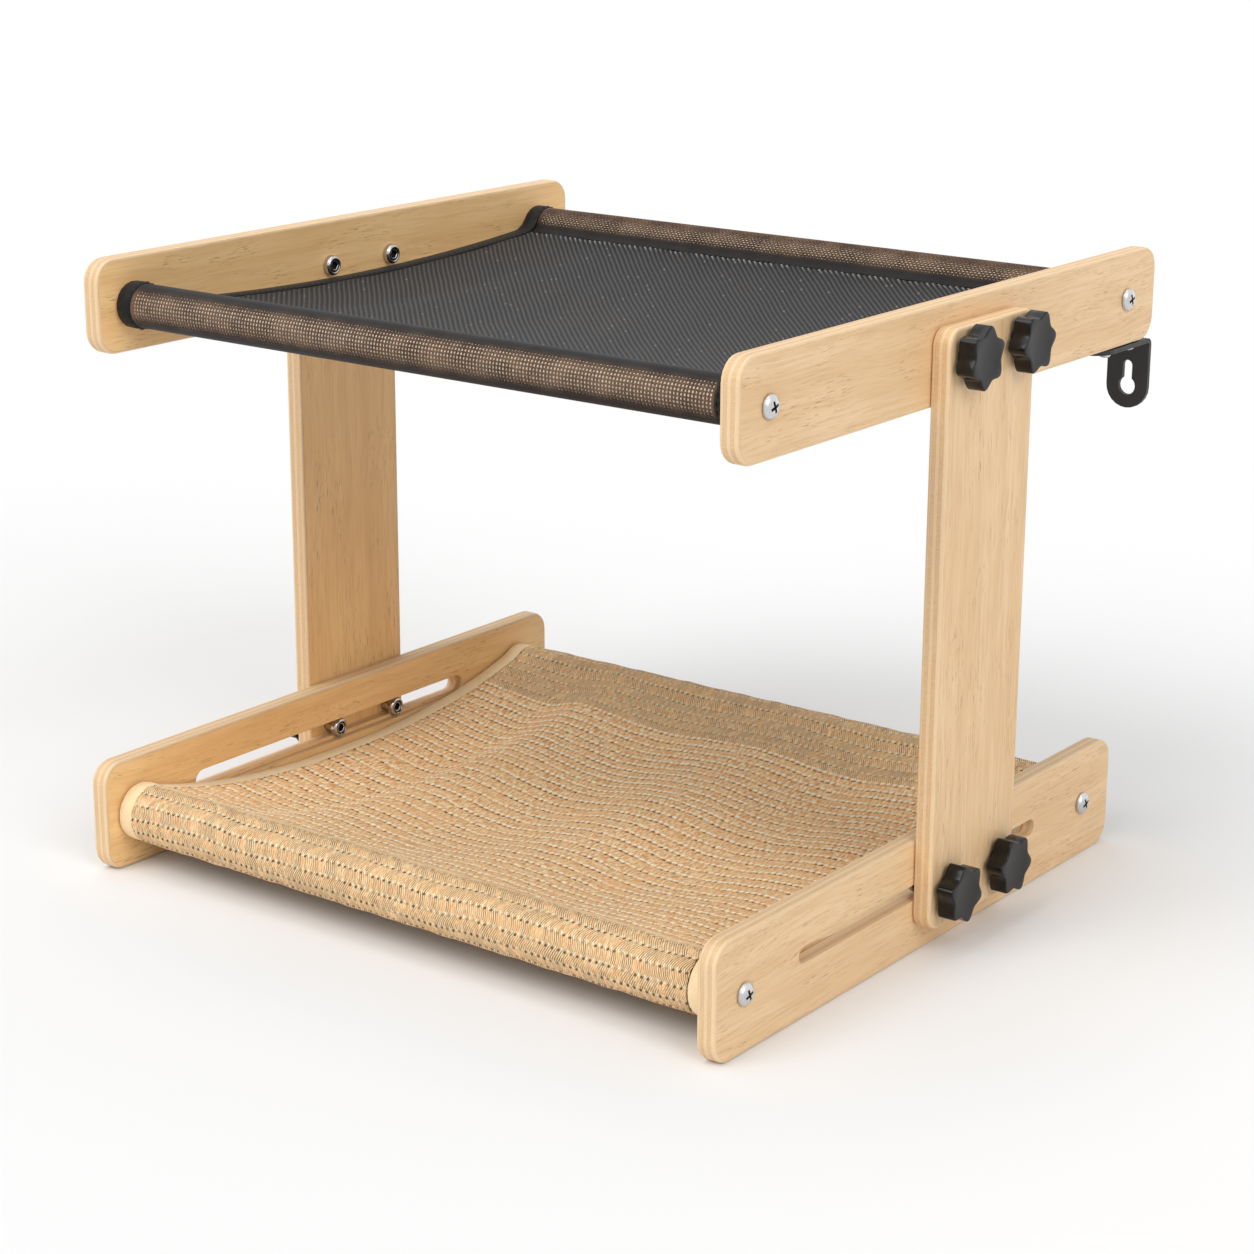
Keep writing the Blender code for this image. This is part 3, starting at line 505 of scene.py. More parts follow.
def make_handled(name, colour, other, low, high, relief, strength, **constants):
    """Metal, plastic or paint: two near tones, and a roughness between low and high."""
    made, shader, place = material(name, **constants)
    roughness, tone, height = use(MARKS, place, low, high)
    feed(shader, mix(tone, colour, other), roughness, height, relief, strength)
    return made


def make_metal(name, colour, dark, low, high):
    return make_handled(name, colour, dark, low, high, METAL_RELIEF, 0.3, Metallic=1.0)


def make_tape(name, colour, pale, pitch, relief, roughness, sheen, specular=0.3):
    made, shader, place = material(name, Sheen_Weight=sheen, Sheen_Roughness=0.45, Specular_IOR_Level=specular)
    height, tone = use(TAPE, place, pitch)
    feed(shader, mix(tone, colour, pale), tone * 0.1 + roughness, height, relief, 0.8)
    return made


def centred(turns, pitch):
    """Distance from the middle of the turn that a point is in."""
    return (calc("FRACT", turns) - 0.5) * pitch


def chance_of(first, second):
    pair = joined(calc("FLOOR", first), calc("FLOOR", second), 0.0)
    return add("TexWhiteNoise", {"Vector": pair}, "Value", noise_dimensions="2D")


def make_sisal_finish():
    """Straw-coloured cords bound by twisted thread: open rows on the flat, a tight braid on the rolls."""
    made, shader, place = material("woven_sisal", Sheen_Weight=0.03, Sheen_Roughness=0.5,
                                   Specular_IOR_Level=0.15)
    row, braid, smooth, length, pitch = (attribute(shader, name) for name in MAT_LAYERS)
    across = parts_of(place)[0]
    loose = noise(place, 170.0) - 0.5
    line = calc("FLOOR", row + 0.5)
    from_line = (row - line) * pitch + loose * MARK_WANDER
    turns = across / STITCH_PITCH + calc("FRACT", line * ROW_SHIFT) + loose * 0.12

    def marks(oval, mark_turns):
        """One inside the ovals of each row, falling to nothing at their edges."""
        u = centred(mark_turns, STITCH_PITCH) / oval.half_length
        v = (from_line - oval.offset) / oval.half_width
        inside = span(calc("POWER", u, 2.0) + calc("POWER", v, 2.0), oval.soft, 1.1, 1.0, 0.0)
        return inside * span(chance_of(mark_turns, line), *oval.luck)

    leaning = from_line * (BEAD_LEAN / STITCH_PITCH) + turns
    bead_highlight = marks(BEAD_HIGHLIGHT, leaning)
    gap = marks(GAP_SHADE, leaning + GAP_TURN)
    knot = marks(KNOT, turns + KNOT_TURN)
    braid_bead_highlight = marks(BRAID_BEAD_HIGHLIGHT, turns)

    number = calc("FLOOR", row)
    lean = calc("MODULO", number, 2.0) * 2.0 - 1.0
    strands = (turns + lean * calc("FRACT", row) * STRAND_SLANT) * STRANDS_PER_STITCH
    strand = calc("ABSOLUTE", centred(strands, 2.0))
    luck = chance_of(strands, number)
    # Each braided strand has a painted highlight along its middle and painted shade at its edges.
    strand_highlight = span(strand, 0.2, 0.75, 1.0, 0.0) * luck
    strand_shade = span(strand, 0.5, 0.9) * span(luck, 0.2, 0.9, 0.2, 0.85)

    straws = noise(joined(across, length, 0.0), STRAW_SCALES, 3.0, 0.6)
    cloud = noise(place, 30.0, 3.0, 0.6)
    quiet = 1.0 - smooth * 0.5
    # Light is the painted highlights; dark is the painted shade, together with the dark knots.
    light = mix(braid, bead_highlight, calc("MAXIMUM", strand_highlight * 0.5, braid_bead_highlight)) * quiet
    dark = mix(braid, gap, calc("MAXIMUM", knot, strand_shade)) * quiet
    colour = layered(mix(span(straws, 0.39, 0.61), srgb(224, 158, 98), srgb(255, 232, 186)),
                     (span(cloud, 0.42, 0.68) * 0.4, srgb(246, 196, 138)),
                     (braid * 0.35, srgb(248, 202, 148)),
                     (smooth * 0.6, srgb(242, 214, 172)),
                     (light * 0.95, mix(braid, srgb(255, 249, 228), srgb(255, 238, 200))),
                     (dark * 0.95, mix(braid, srgb(66, 38, 18), srgb(106, 66, 33))))
    feed(shader, colour, light * -0.15 + 0.78, straws * 0.35 + light - dark, SISAL_RELIEF, 0.9)
    return made


def make_sheet_finish():
    """Black knitted mesh: thin paler ribs on the bias, with dark valleys and small openings between them."""
    made, shader, place = material("black_mesh_sheet", Sheen_Weight=0.04, Sheen_Roughness=0.4,
                                   Specular_IOR_Level=0.15)
    rib = attribute(shader, "rib")
    seam = attribute(shader, "seam")
    x, y, _ = parts_of(place)
    along = y * math.cos(RIB_TURN) - x * math.sin(RIB_TURN)
    wave = calc("COSINE", rib * (2 * math.pi)) * 0.5 + 0.5
    loose = noise(place, 420.0, 2.0, 0.6)
    crest = span(loose * 0.6 + wave, 0.72, 1.35)
    line = calc("FLOOR", rib + 0.5)
    steps = along / RIB_STITCH + line * 0.5
    stitch_wave = calc("ABSOLUTE", centred(steps, 2.0))
    # The openings are painted near-black: painted shade where the mesh is open.
    openings = span(wave, 0.1, 0.45, 1.0, 0.0) * span(stitch_wave, 0.35, 0.75)
    dashes = calc("GREATER_THAN", chance_of(steps * 0.6, line), 0.992) * crest * 0.45
    # The glints are painted highlights on the ribs along the seams; the dashes are pale specks on the crests.
    painted_glints = span(wave, 0.72, 0.95) * seam * span(chance_of(line, rib), 0.2, 0.6)
    cloud = noise(place, 14.0, 3.0, 0.6)
    pale = mix(span(cloud, 0.45, 0.65), srgb(68, 68, 70), srgb(74, 69, 65))
    colour = layered(srgb(31, 31, 32), (crest, pale), (openings * 0.8, srgb(16, 15, 15)),
                     (calc("MAXIMUM", dashes, painted_glints), srgb(158, 153, 146)))
    feed(shader, colour, loose * 0.2 + 0.55, stitch_wave * 0.25 + crest - openings, SHEET_RELIEF, 0.7)
    return made


def make_sleeve_finish():
    """The mesh of the sleeves: black where it is closed; where it is open, its threads are painted brown as
    painted light from the wood behind, fading to black towards the closed bands."""
    made, shader, place = material("black_mesh_sleeve", Sheen_Weight=0.06, Sheen_Roughness=0.4,
                                   Specular_IOR_Level=0.18)
    fluff = noise(place, 900.0, 3.0, 0.6)
    tone = span(noise(place, 60.0) * 0.5 + fluff * 0.5, 0.36, 0.64)
    black = mix(tone, srgb(22, 21, 21), srgb(36, 34, 33))
    # The brown on the threads of the open rows is painted light from the wood behind them.
    brown = mix(tone, srgb(74, 56, 45), srgb(116, 92, 74))
    feed(shader, mix(attribute(shader, "open"), black, brown), fluff * 0.25 + 0.5, fluff, SLEEVE_RELIEF, 0.7)
    return made


def make_floor_finish():
    """A pale floor that keeps the shadow; where it is seen it glows a little, to come out white."""
    made, shader, place = material("pale_floor", Roughness=0.9, Specular_IOR_Level=0.0, Emission_Color=WHITE)
    put(shader.inputs["Base Color"], mix(noise(place, 3.0), (0.86, 0.86, 0.86, 1), (0.875, 0.875, 0.875, 1)))
    put(shader.inputs["Emission Strength"], seen_rays(shader.id_data) * FLOOR_GLOW)
    return made


RAIL_PLY = make_board("birch_ply_rails", RAIL_INNER_X, False)
POST_PLY = make_board("birch_ply_posts", POST_INNER_X, True)
DOWEL_WOOD = make_dowel_finish()
ZINC = make_metal("zinc_plated_steel", srgb(226, 226, 226), srgb(196, 196, 198), 0.22, 0.38)
CHROME = make_metal("bright_chrome", srgb(204, 202, 200), srgb(172, 169, 166), 0.08, 0.18)
DARK_ZINC = make_metal("zinc_in_shade", srgb(120, 118, 116), srgb(88, 86, 84), 0.30, 0.45)
# Darker chrome for the bolts' groove and socket: painted shade.
CHROME_IN_PAINTED_SHADE = make_metal("chrome_in_painted_shade", srgb(92, 88, 85), srgb(62, 59, 57), 0.16, 0.28)
BRASS = make_metal("brass", srgb(222, 184, 110), srgb(190, 148, 78), 0.30, 0.42)
PLASTIC = make_handled("black_plastic", srgb(15, 14, 14), srgb(23, 22, 21), 0.16, 0.26, PLASTIC_RELIEF, 0.5,
                       Specular_IOR_Level=0.28)
PAINT = make_handled("black_painted_steel", srgb(24, 23, 23), srgb(34, 32, 31), 0.36, 0.50, PAINT_RELIEF, 0.5)
COTTON = make_tape("cotton_tape", srgb(246, 218, 172), srgb(252, 230, 188), COTTON_PITCH, COTTON_RELIEF,
                   0.75, 0.10)
BLACK_TAPE = make_tape("black_tape", srgb(18, 18, 19), srgb(28, 28, 29), BLACK_TAPE_PITCH, BLACK_TAPE_RELIEF,
                       0.55, 0.06, 0.2)
BROWN_THREAD = make_tape("brown_thread", srgb(84, 58, 36), srgb(112, 80, 50), THREAD_PITCH, THREAD_RELIEF,
                         0.7, 0.05)
BLACK_THREAD = make_tape("black_thread", srgb(16, 16, 17), srgb(30, 29, 30), THREAD_PITCH, THREAD_RELIEF,
                         0.5, 0.05, 0.2)
SISAL = make_sisal_finish()
MESH_SHEET = make_sheet_finish()
MESH_SLEEVE = make_sleeve_finish()
FLOOR = make_floor_finish()


# Mesh helpers

def new_shape():
    bm = bmesh.new()
    bm.loops.layers.uv.new(UV_MAP)
    return bm


def ring_of(bm, points):
    return [bm.verts.new(point) for point in points]


def ring_at(bm, x, outline):
    """A ring of (y, z) points across the X axis."""
    return ring_of(bm, [(x, y, z) for y, z in outline])


def quad(bm, corners, places):
    face = bm.faces.new(corners)
    layer = bm.loops.layers.uv[UV_MAP]
    for loop, place in zip(face.loops, places):
        loop[layer].uv = place


def loft(bm, rings, area):
    """Skins neighbouring rings, with an even map inside area, which is (left, low, right, high)."""
    left, low, right, high = area
    count = len(rings[0])
    for i, (first, second) in enumerate(zip(rings, rings[1:])):
        u, v = (left + (right - left) * k / (len(rings) - 1) for k in (i, i + 1))
        for j in range(count):
            k = (j + 1) % count
            s, t = (low + (high - low) * n / count for n in (j, j + 1))
            quad(bm, (first[j], first[k], second[k], second[j]), ((u, s), (u, t), (v, t), (v, s)))


def skin(bm, rings):
    """Faces between neighbouring rings, without a map; a ring of one vertex closes the end."""
    for first, second in zip(rings, rings[1:]):
        count = max(len(first), len(second))
        for i in range(count):
            j = (i + 1) % count
            corners = [first[i % len(first)], first[j % len(first)], second[j % len(second)],
                       second[i % len(second)]]
            bm.faces.new(list(dict.fromkeys(corners)))


def fill(bm, *rings):
    """Fills a flat face inside the first ring, round the others."""
    edges = []
    for ring in rings:
        for i, vert in enumerate(ring):
            pair = (vert, ring[(i + 1) % len(ring)])
            edges.append(bm.edges.get(pair) or bm.edges.new(pair))
    bmesh.ops.triangle_fill(bm, use_beauty=True, use_dissolve=False, edges=edges)


def circle(radius, steps=ROUND_STEPS, centre=0.0):
    angles = [2 * math.pi * i / steps for i in range(steps)]
    return [(centre + radius * math.cos(a), radius * math.sin(a)) for a in angles]


def mesh_from(name, bm, finish, sharp=SHARP_ANGLE):
    bmesh.ops.recalc_face_normals(bm, faces=bm.faces[:])
    if bm.calc_volume(signed=True) < 0:
        bmesh.ops.reverse_faces(bm, faces=bm.faces[:])
    mesh = bpy.data.meshes.new(name)
    bm.to_mesh(mesh)
    bm.free()
    mesh.materials.append(finish)
    mesh.shade_smooth()
    if sharp:
        mesh.set_sharp_from_angle(angle=math.radians(sharp))
    return mesh


def put_object(name, data, place=(0, 0, 0), turn=None):
    obj = bpy.data.objects.new(name, data)
    bpy.context.scene.collection.objects.link(obj)
    obj.matrix_world = Matrix.Translation(place) @ (turn or Matrix.Identity(4))
    return obj


def make_piece(name, mesh, place, body, slot, *nodes, turn=None):
    """Puts a piece in place on its body, instead of the CAD nodes that it stands for."""
    piece = put_object(name, mesh, place, turn)
    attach(piece, body)
    if nodes:
        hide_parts(*nodes)
    return piece


# Section of a bed, from the middle of its upper face round one roll to the middle of its lower face

def half_span(bed):
    return (middle(bed.tier + "_dowel_rear").y - middle(bed.tier + "_dowel_front").y) / 2


def bed_centre(bed):
    front, rear = (middle(f"{bed.tier}_dowel_{end}") for end, _ in ENDS)
    return (front + rear) / 2


def fold_share(x):
    """Height of the folds at one x, eased between the points of FOLD_LINE."""
    place = min(max(x / CLOTH_HALF_WIDTH, -1.0), 1.0)
    for (start, low), (end, high) in zip(FOLD_LINE, FOLD_LINE[1:]):
        if place <= end:
            return low + (high - low) * (1 - math.cos(math.pi * (place - start) / (end - start))) / 2
    return 0.0


def bed_height(bed, reach, x, y):
    """Height of the cloth's upper face above the dowels' axes."""
    along = min(abs(y) / reach, 1.0)
    across = min(abs(x) / CLOTH_HALF_WIDTH, 1.0)
    edge = bed.middle + (bed.end - bed.middle) * along ** bed.power
    slack = 1 - along ** 2
    return edge - bed.belly * slack * (1 - across ** 4) + bed.folds * fold_share(x) * slack


def tangent_arc(bed, reach, x, roll, lift, radius, up):
    """The arc that joins the cloth's face to the roll: its middle, and its ends on the face and the roll."""
    near, far = 0.0, reach
    step = bed.thickness / 100
    axis = Vector((reach, 0.0))
    for _ in range(HALVINGS):
        y = (near + far) / 2
        start = Vector((y, bed_height(bed, reach, x, y) + lift))
        slope = (bed_height(bed, reach, x, y + step) - bed_height(bed, reach, x, y - step)) / (2 * step)
        centre = start + Vector((-slope, 1.0)).normalized() * up * radius
        if (centre - axis).length > roll + radius:
            near = y
        else:
            far = y
    return centre, start, axis + (centre - axis).normalized() * roll


def arc_points(centre, start, end, radius, steps):
    first = math.atan2(start.y - centre.y, start.x - centre.x)
    last = math.atan2(end.y - centre.y, end.x - centre.x)
    sweep = (last - first + math.pi) % (2 * math.pi) - math.pi
    angles = [first + sweep * i / steps for i in range(steps + 1)]
    return [(centre.x + radius * math.cos(a), centre.y + radius * math.sin(a)) for a in angles]


def half_section(bed, x, cover=0.0):
    """Dense points from the middle of the upper face to the middle of the lower face, and the lengths along
    them at which the flat, the upper fillet, the roll and the lower fillet end."""
    reach = half_span(bed)
    roll = bed.roll + cover
    lower = -bed.thickness - cover
    top_middle, top_start, top_end = tangent_arc(bed, reach, x, roll, cover, bed.top_fillet, 1)
    low_middle, low_start, low_end = tangent_arc(bed, reach, x, roll, lower, bed.lower_fillet, -1)
    first = math.atan2(top_end.y, top_end.x - reach)
    last = math.atan2(low_end.y, low_end.x - reach)
    stretches = [
        [(y, bed_height(bed, reach, x, y) + cover) for y in np.linspace(0.0, top_start.x, FACE_POINTS)],
        arc_points(top_middle, top_start, top_end, bed.top_fillet, UPPER_FILLET_POINTS),
        [(reach + roll * math.cos(a), roll * math.sin(a)) for a in np.linspace(first, last, ROLL_POINTS)],
        arc_points(low_middle, low_end, low_start, bed.lower_fillet, LOWER_FILLET_POINTS),
        [(y, bed_height(bed, reach, x, y) + lower) for y in np.linspace(low_start.x, 0.0, UNDERSIDE_POINTS)]]
    points = [stretches[0][0]]
    marks = [0.0]
    lengths = [0.0]
    for stretch in stretches:
        for point in stretch[1:]:
            lengths.append(lengths[-1] + math.dist(points[-1], point))
            points.append(point)
        marks.append(lengths[-1])
    return np.array(points), np.array(lengths), np.array(marks)


def whole_section(bed, x, cover=0.0):
    """The closed section as (y, z) by length, from the middle of the lower face, rearwards first; marks are
    the lengths at which its stretches end."""
    points, lengths, marks = half_section(bed, x, cover)
    half = lengths[-1]
    rear = points[::-1]
    front = points[1:] * (-1, 1)
    return (np.vstack((rear, front)), np.concatenate((half - lengths[::-1], half + lengths[1:])),
            np.concatenate((half - marks[::-1], half + marks[1:])))


def at_lengths(bed, x, wanted, base_marks, cover=0.0):
    """Points (y, z) at lengths that are counted along the middle section."""
    points, lengths, marks = whole_section(bed, x, cover)
    own = np.interp(wanted, base_marks, marks)
    return np.stack((np.interp(own, lengths, points[:, 0]), np.interp(own, lengths, points[:, 1])), axis=1)


def bore_and_close(bm, bed, xs, rings):
    """Straight bores for both dowels from side to side, and the flat ends of the rings round them."""
    bores = []
    for (_, end), area in zip(ENDS, BORE_MAPS):
        outline = circle(DOWEL_RADIUS + BORE_CLEARANCE, centre=end * half_span(bed))
        bores.append([ring_at(bm, x, outline) for x in (xs[0], xs[-1])])
        loft(bm, bores[-1], area)
    for side in (0, -1):
        fill(bm, rings[side], *(bore[side] for bore in bores))


# Smooth wander that repeats exactly: a sum of a few fixed waves

def wander(x, s, waves):
    return sum(a * math.sin(2 * math.pi * (x / px + s / ps) + phase) for a, px, ps, phase in waves)


WANDER_WAVES = ((0.40, 0.190, 0.47, 0.3), (0.32, -0.087, 0.29, 1.9), (0.28, 0.051, -0.61, 4.1))
PUCKER_WAVES = ((0.5, 0.037, 0.083, 0.9), (0.3, -0.023, 0.051, 2.6), (0.2, 0.015, -0.043, 5.0))


# The sisal mat

def weave_rows(marks):
    """Rows of the mat along its section, as (start, pitch, kind)."""
    _, rear_low, _, rear_roll_top, _, centre, _, front_roll_top, _, front_low, total = marks
    zones = [(rear_low, "under"), (rear_roll_top + REAR_BRAID, "braid"), (centre - CLOSE_ROWS_TO, "close"),
             (front_roll_top, "plain"), (front_roll_top + SMOOTH_TO, "smooth"), (front_low, "braid"),
             (total, "under")]
    rows = []
    start = 0.0
    for end, kind in zones:
        count = max(1, round((end - start) / ROW_PITCH[kind]))
        pitch = (end - start) / count
        rows += [(start + i * pitch, pitch, kind) for i in range(count)]
        start = end
    return rows


def row_relief(kind, share, column, number):
    """How far a point of the mat stands proud of its mean face."""
    turn = 2 * math.pi * (column / STATIONS_PER_STITCH + (number * ROW_SHIFT) % 1.0)
    near = max(0.0, 1 - min(share, 1 - share) / THREAD_REACH)
    gap = max(0.0, 1 - abs(share - GAP_SHARE) / GAP_REACH)
    if kind in ("plain", "close"):
        thread = THREAD_HEIGHT * near * (0.6 - 0.4 * math.cos(turn))
        hole = GAP_DEPTH * gap * (0.5 + 0.5 * math.cos(turn))
        return thread + BAND_HEIGHT * max(0.0, math.sin(math.pi * share)) ** 2 - hole
    if kind == "braid":
        crest = BRAID_HEIGHT * math.sin(math.pi * share)
        return crest - 0.5 * GAP_DEPTH * near * (0.5 + 0.5 * math.cos(turn))
    return BAND_HEIGHT * math.sin(math.pi * share)


def grid_normals(grid):
    """Outward normals of a grid of points whose rows are closed rings round the X axis."""
    along = np.roll(grid, -1, axis=1) - np.roll(grid, 1, axis=1)
    normals = np.cross(along, np.gradient(grid, axis=0))
    normals /= np.linalg.norm(normals, axis=2, keepdims=True)
    row = len(grid) // 2
    top = int(np.argmax(grid[row, :, 2]))
    return -normals if normals[row, top, 2] < 0 else normals


def make_sisal_mat():
    bed = SISAL_BED
    _, _, marks = whole_section(bed, 0.0)
    rows = weave_rows(marks)
    stations = []
    for number, (start, pitch, kind) in enumerate(rows):
        stations += [(start + pitch * share, number, share, kind) for share in ROW_SHARES[kind]]
    wanted = np.array([station[0] for station in stations])
    columns = round(2 * CLOTH_HALF_WIDTH / STITCH_PITCH) * STATIONS_PER_STITCH
    xs = np.linspace(-CLOTH_HALF_WIDTH, CLOTH_HALF_WIDTH, columns + 1)
    still = np.array([0.0 if kind == "under" else 1.0 for _, _, _, kind in stations])

    grid = np.zeros((len(xs), len(stations), 3))
    for i, x in enumerate(xs):
        moves = np.array([wander(x, s, WANDER_WAVES) for s in wanted]) * ROW_WANDER * still
        grid[i, :, 0] = x
        grid[i, :, 1:] = at_lengths(bed, x, wanted + moves, marks)
    normals = grid_normals(grid)
    for i, x in enumerate(xs):
        lift = [row_relief(kind, share, i, number) for _, number, share, kind in stations]
        pucker = [wander(x, s, PUCKER_WAVES) for s in wanted]
        grid[i] += normals[i] * (np.array(lift) + np.array(pucker) * PUCKER * still)[:, None]

    bm = new_shape()
    layers = [bm.verts.layers.float.new(name) for name in MAT_LAYERS]
    rings = []
    for points in grid:
        ring = ring_of(bm, points)
        for vert, (s, number, share, kind) in zip(ring, stations):
            values = (number + share, float(kind == "braid"), float(kind == "smooth"), s, rows[number][1])
            for layer, value in zip(layers, values):
                vert[layer] = value
        rings.append(ring)
    loft(bm, rings, MAT_MAP)
    bore_and_close(bm, bed, xs, rings)
    mesh = mesh_from("sisal_mat", bm, SISAL, sharp=0)
    piece = make_piece("sisal_mat", mesh, bed_centre(bed), "lower_tier", "woven_sisal", "sisal_bed")
    return piece, 2 * CLOTH_HALF_WIDTH, marks[-1] / 2


# The mesh bed: a ribbed sheet, and at each end a sleeve of open mesh round the dowel

def cloth_row(bm, xs, place):
    """One row's vertices. Stations beyond the cloth's sides share one vertex at that side."""
    limit = CLOTH_HALF_WIDTH
    left, right = (bm.verts.new(place(side * limit, None)) for side in (-1, 1))
    row = []
    for i, x in enumerate(xs):
        if abs(x) < limit:
            row.append(bm.verts.new(place(x, i)))
        else:
            row.append(left if x < 0 else right)
    return row


def map_across(x):
    return MAP_LOW + (1 - 2 * MAP_LOW) * (x / CLOTH_HALF_WIDTH + 1) / 2


def face_between(bm, corners):
    """A face through (vertex, map height) corners, leaving out the repeated ones."""
    unique = list(dict.fromkeys(corners))
    if len(unique) > 2:
        places = [(map_across(vert.co.x), height) for vert, height in unique]
        quad(bm, [vert for vert, _ in unique], places)


def close_rows(bm, upper, lower):
    """The four narrow sides between two layers of rows."""
    for first, second in ((upper[0], lower[0]), (upper[-1], lower[-1])):
        for i in range(len(first) - 1):
            corners = (first[i], first[i + 1], second[i + 1], second[i])
            face_between(bm, list(zip(corners, ROW_END_HEIGHTS)))
    first, second = SIDE_HEIGHTS
    for side in (0, -1):
        for j in range(len(upper) - 1):
            low, high = (n / len(upper) for n in (j, j + 1))
            quad(bm, (upper[j][side], upper[j + 1][side], lower[j + 1][side], lower[j][side]),
                 ((low, first), (high, first), (high, second), (low, second)))


def make_mesh_sheet():
    """Rows of constant Y whose stations step along X so that the ribs run on the bias."""
    bed = MESH_BED
    reach = half_span(bed)
    points, lengths, marks = half_section(bed, 0.0)
    flat_end = float(np.interp(marks[1], lengths, points[:, 0]))
    steps = round(2 * flat_end / SHEET_STEP)
    tucks = [SHEET_TUCK / 2, SHEET_TUCK]
    ys = [-flat_end - tuck for tuck in tucks[::-1]] + list(np.linspace(-flat_end, flat_end, steps + 1))
    ys += [flat_end + tuck for tuck in tucks]
    cosine, sine = math.cos(RIB_TURN), math.sin(RIB_TURN)
    far = CLOTH_HALF_WIDTH * cosine + ys[-1] * sine
    count = math.ceil(2 * far / RIB_PITCH * STATIONS_PER_RIB)
    phases = [-far + i * RIB_PITCH / STATIONS_PER_RIB for i in range(count + 1)]
    bm = new_shape()
    rib_layer = bm.verts.layers.float.new("rib")
    seam_layer = bm.verts.layers.float.new("seam")
    upper, lower = [], []
    for y in ys:
        xs = [(phase - y * sine) / cosine for phase in phases]
        xs = [x + RIB_WANDER * wander(x, y, WANDER_WAVES) for x in xs]
        tuck = min(1.0, 2 * max(0.0, abs(y) - flat_end) / SHEET_TUCK)

        def face_place(x, i, lift, rib_share):
            rib = 0.0 if i is None else rib_share * RIB_HEIGHT * math.cos(2 * math.pi * i / STATIONS_PER_RIB)
            return (x, y, bed_height(bed, reach, x, y) + PUCKER * wander(x, y, PUCKER_WAVES) + lift + rib)

        top_lift = -RIB_HEIGHT - SHEET_DROP * tuck
        low_lift = -bed.thickness + SHEET_DROP * tuck / 4
        upper.append(cloth_row(bm, xs, lambda x, i: face_place(x, i, top_lift, 1.0)))
        lower.append(cloth_row(bm, xs, lambda x, i: face_place(x, i, low_lift, UNDERSIDE_RIB_SHARE)))
        for row in (upper[-1], lower[-1]):
            for i, vert in enumerate(row):
                own = i / STATIONS_PER_RIB + phases[0] / RIB_PITCH
                at_side = (vert.co.x * cosine + y * sine) / RIB_PITCH
                vert[rib_layer] = at_side if vert in (row[0], row[-1]) else own
                vert[seam_layer] = max(0.0, 1 - abs(flat_end - abs(y)) / SEAM_BAND)
    for rows, low in ((upper, MAP_LOW), (lower, MAP_LOW + MAP_LIFT)):
        for j, (first, second) in enumerate(zip(rows, rows[1:])):
            v, w = (low + MAP_HEIGHT * n / (len(rows) - 1) for n in (j, j + 1))
            for i in range(count):
                face_between(bm, [(first[i], v), (first[i + 1], v), (second[i + 1], w), (second[i], w)])
    close_rows(bm, upper, lower)
    mesh = mesh_from("mesh_sheet", bm, MESH_SHEET, sharp=0)
    piece = make_piece("mesh_sheet", mesh, bed_centre(bed), "upper_tier", "black_mesh", "mesh_bed")
    return piece, 2 * CLOTH_HALF_WIDTH, 2 * (flat_end + SHEET_TUCK)


def sleeve_section(bed, x, end, count):
    """The sleeve's outer and inner face at one x as (y, z), from its seam on the sheet over the roll to the
    seam below, with the lengths and marks along it."""
    points, lengths, marks = half_section(bed, x)
    wanted = np.linspace(marks[1], marks[4], count + 1)
    outer = np.stack([np.interp(wanted, lengths, points[:, k]) for k in (0, 1)], axis=1)
    along = np.gradient(outer, axis=0)
    inward = np.stack((along[:, 1], -along[:, 0]), axis=1)
    inward /= np.linalg.norm(inward, axis=1, keepdims=True)
    flip = (end, 1.0)
    return outer * flip, (outer + inward * SLEEVE_THICKNESS) * flip, wanted, marks


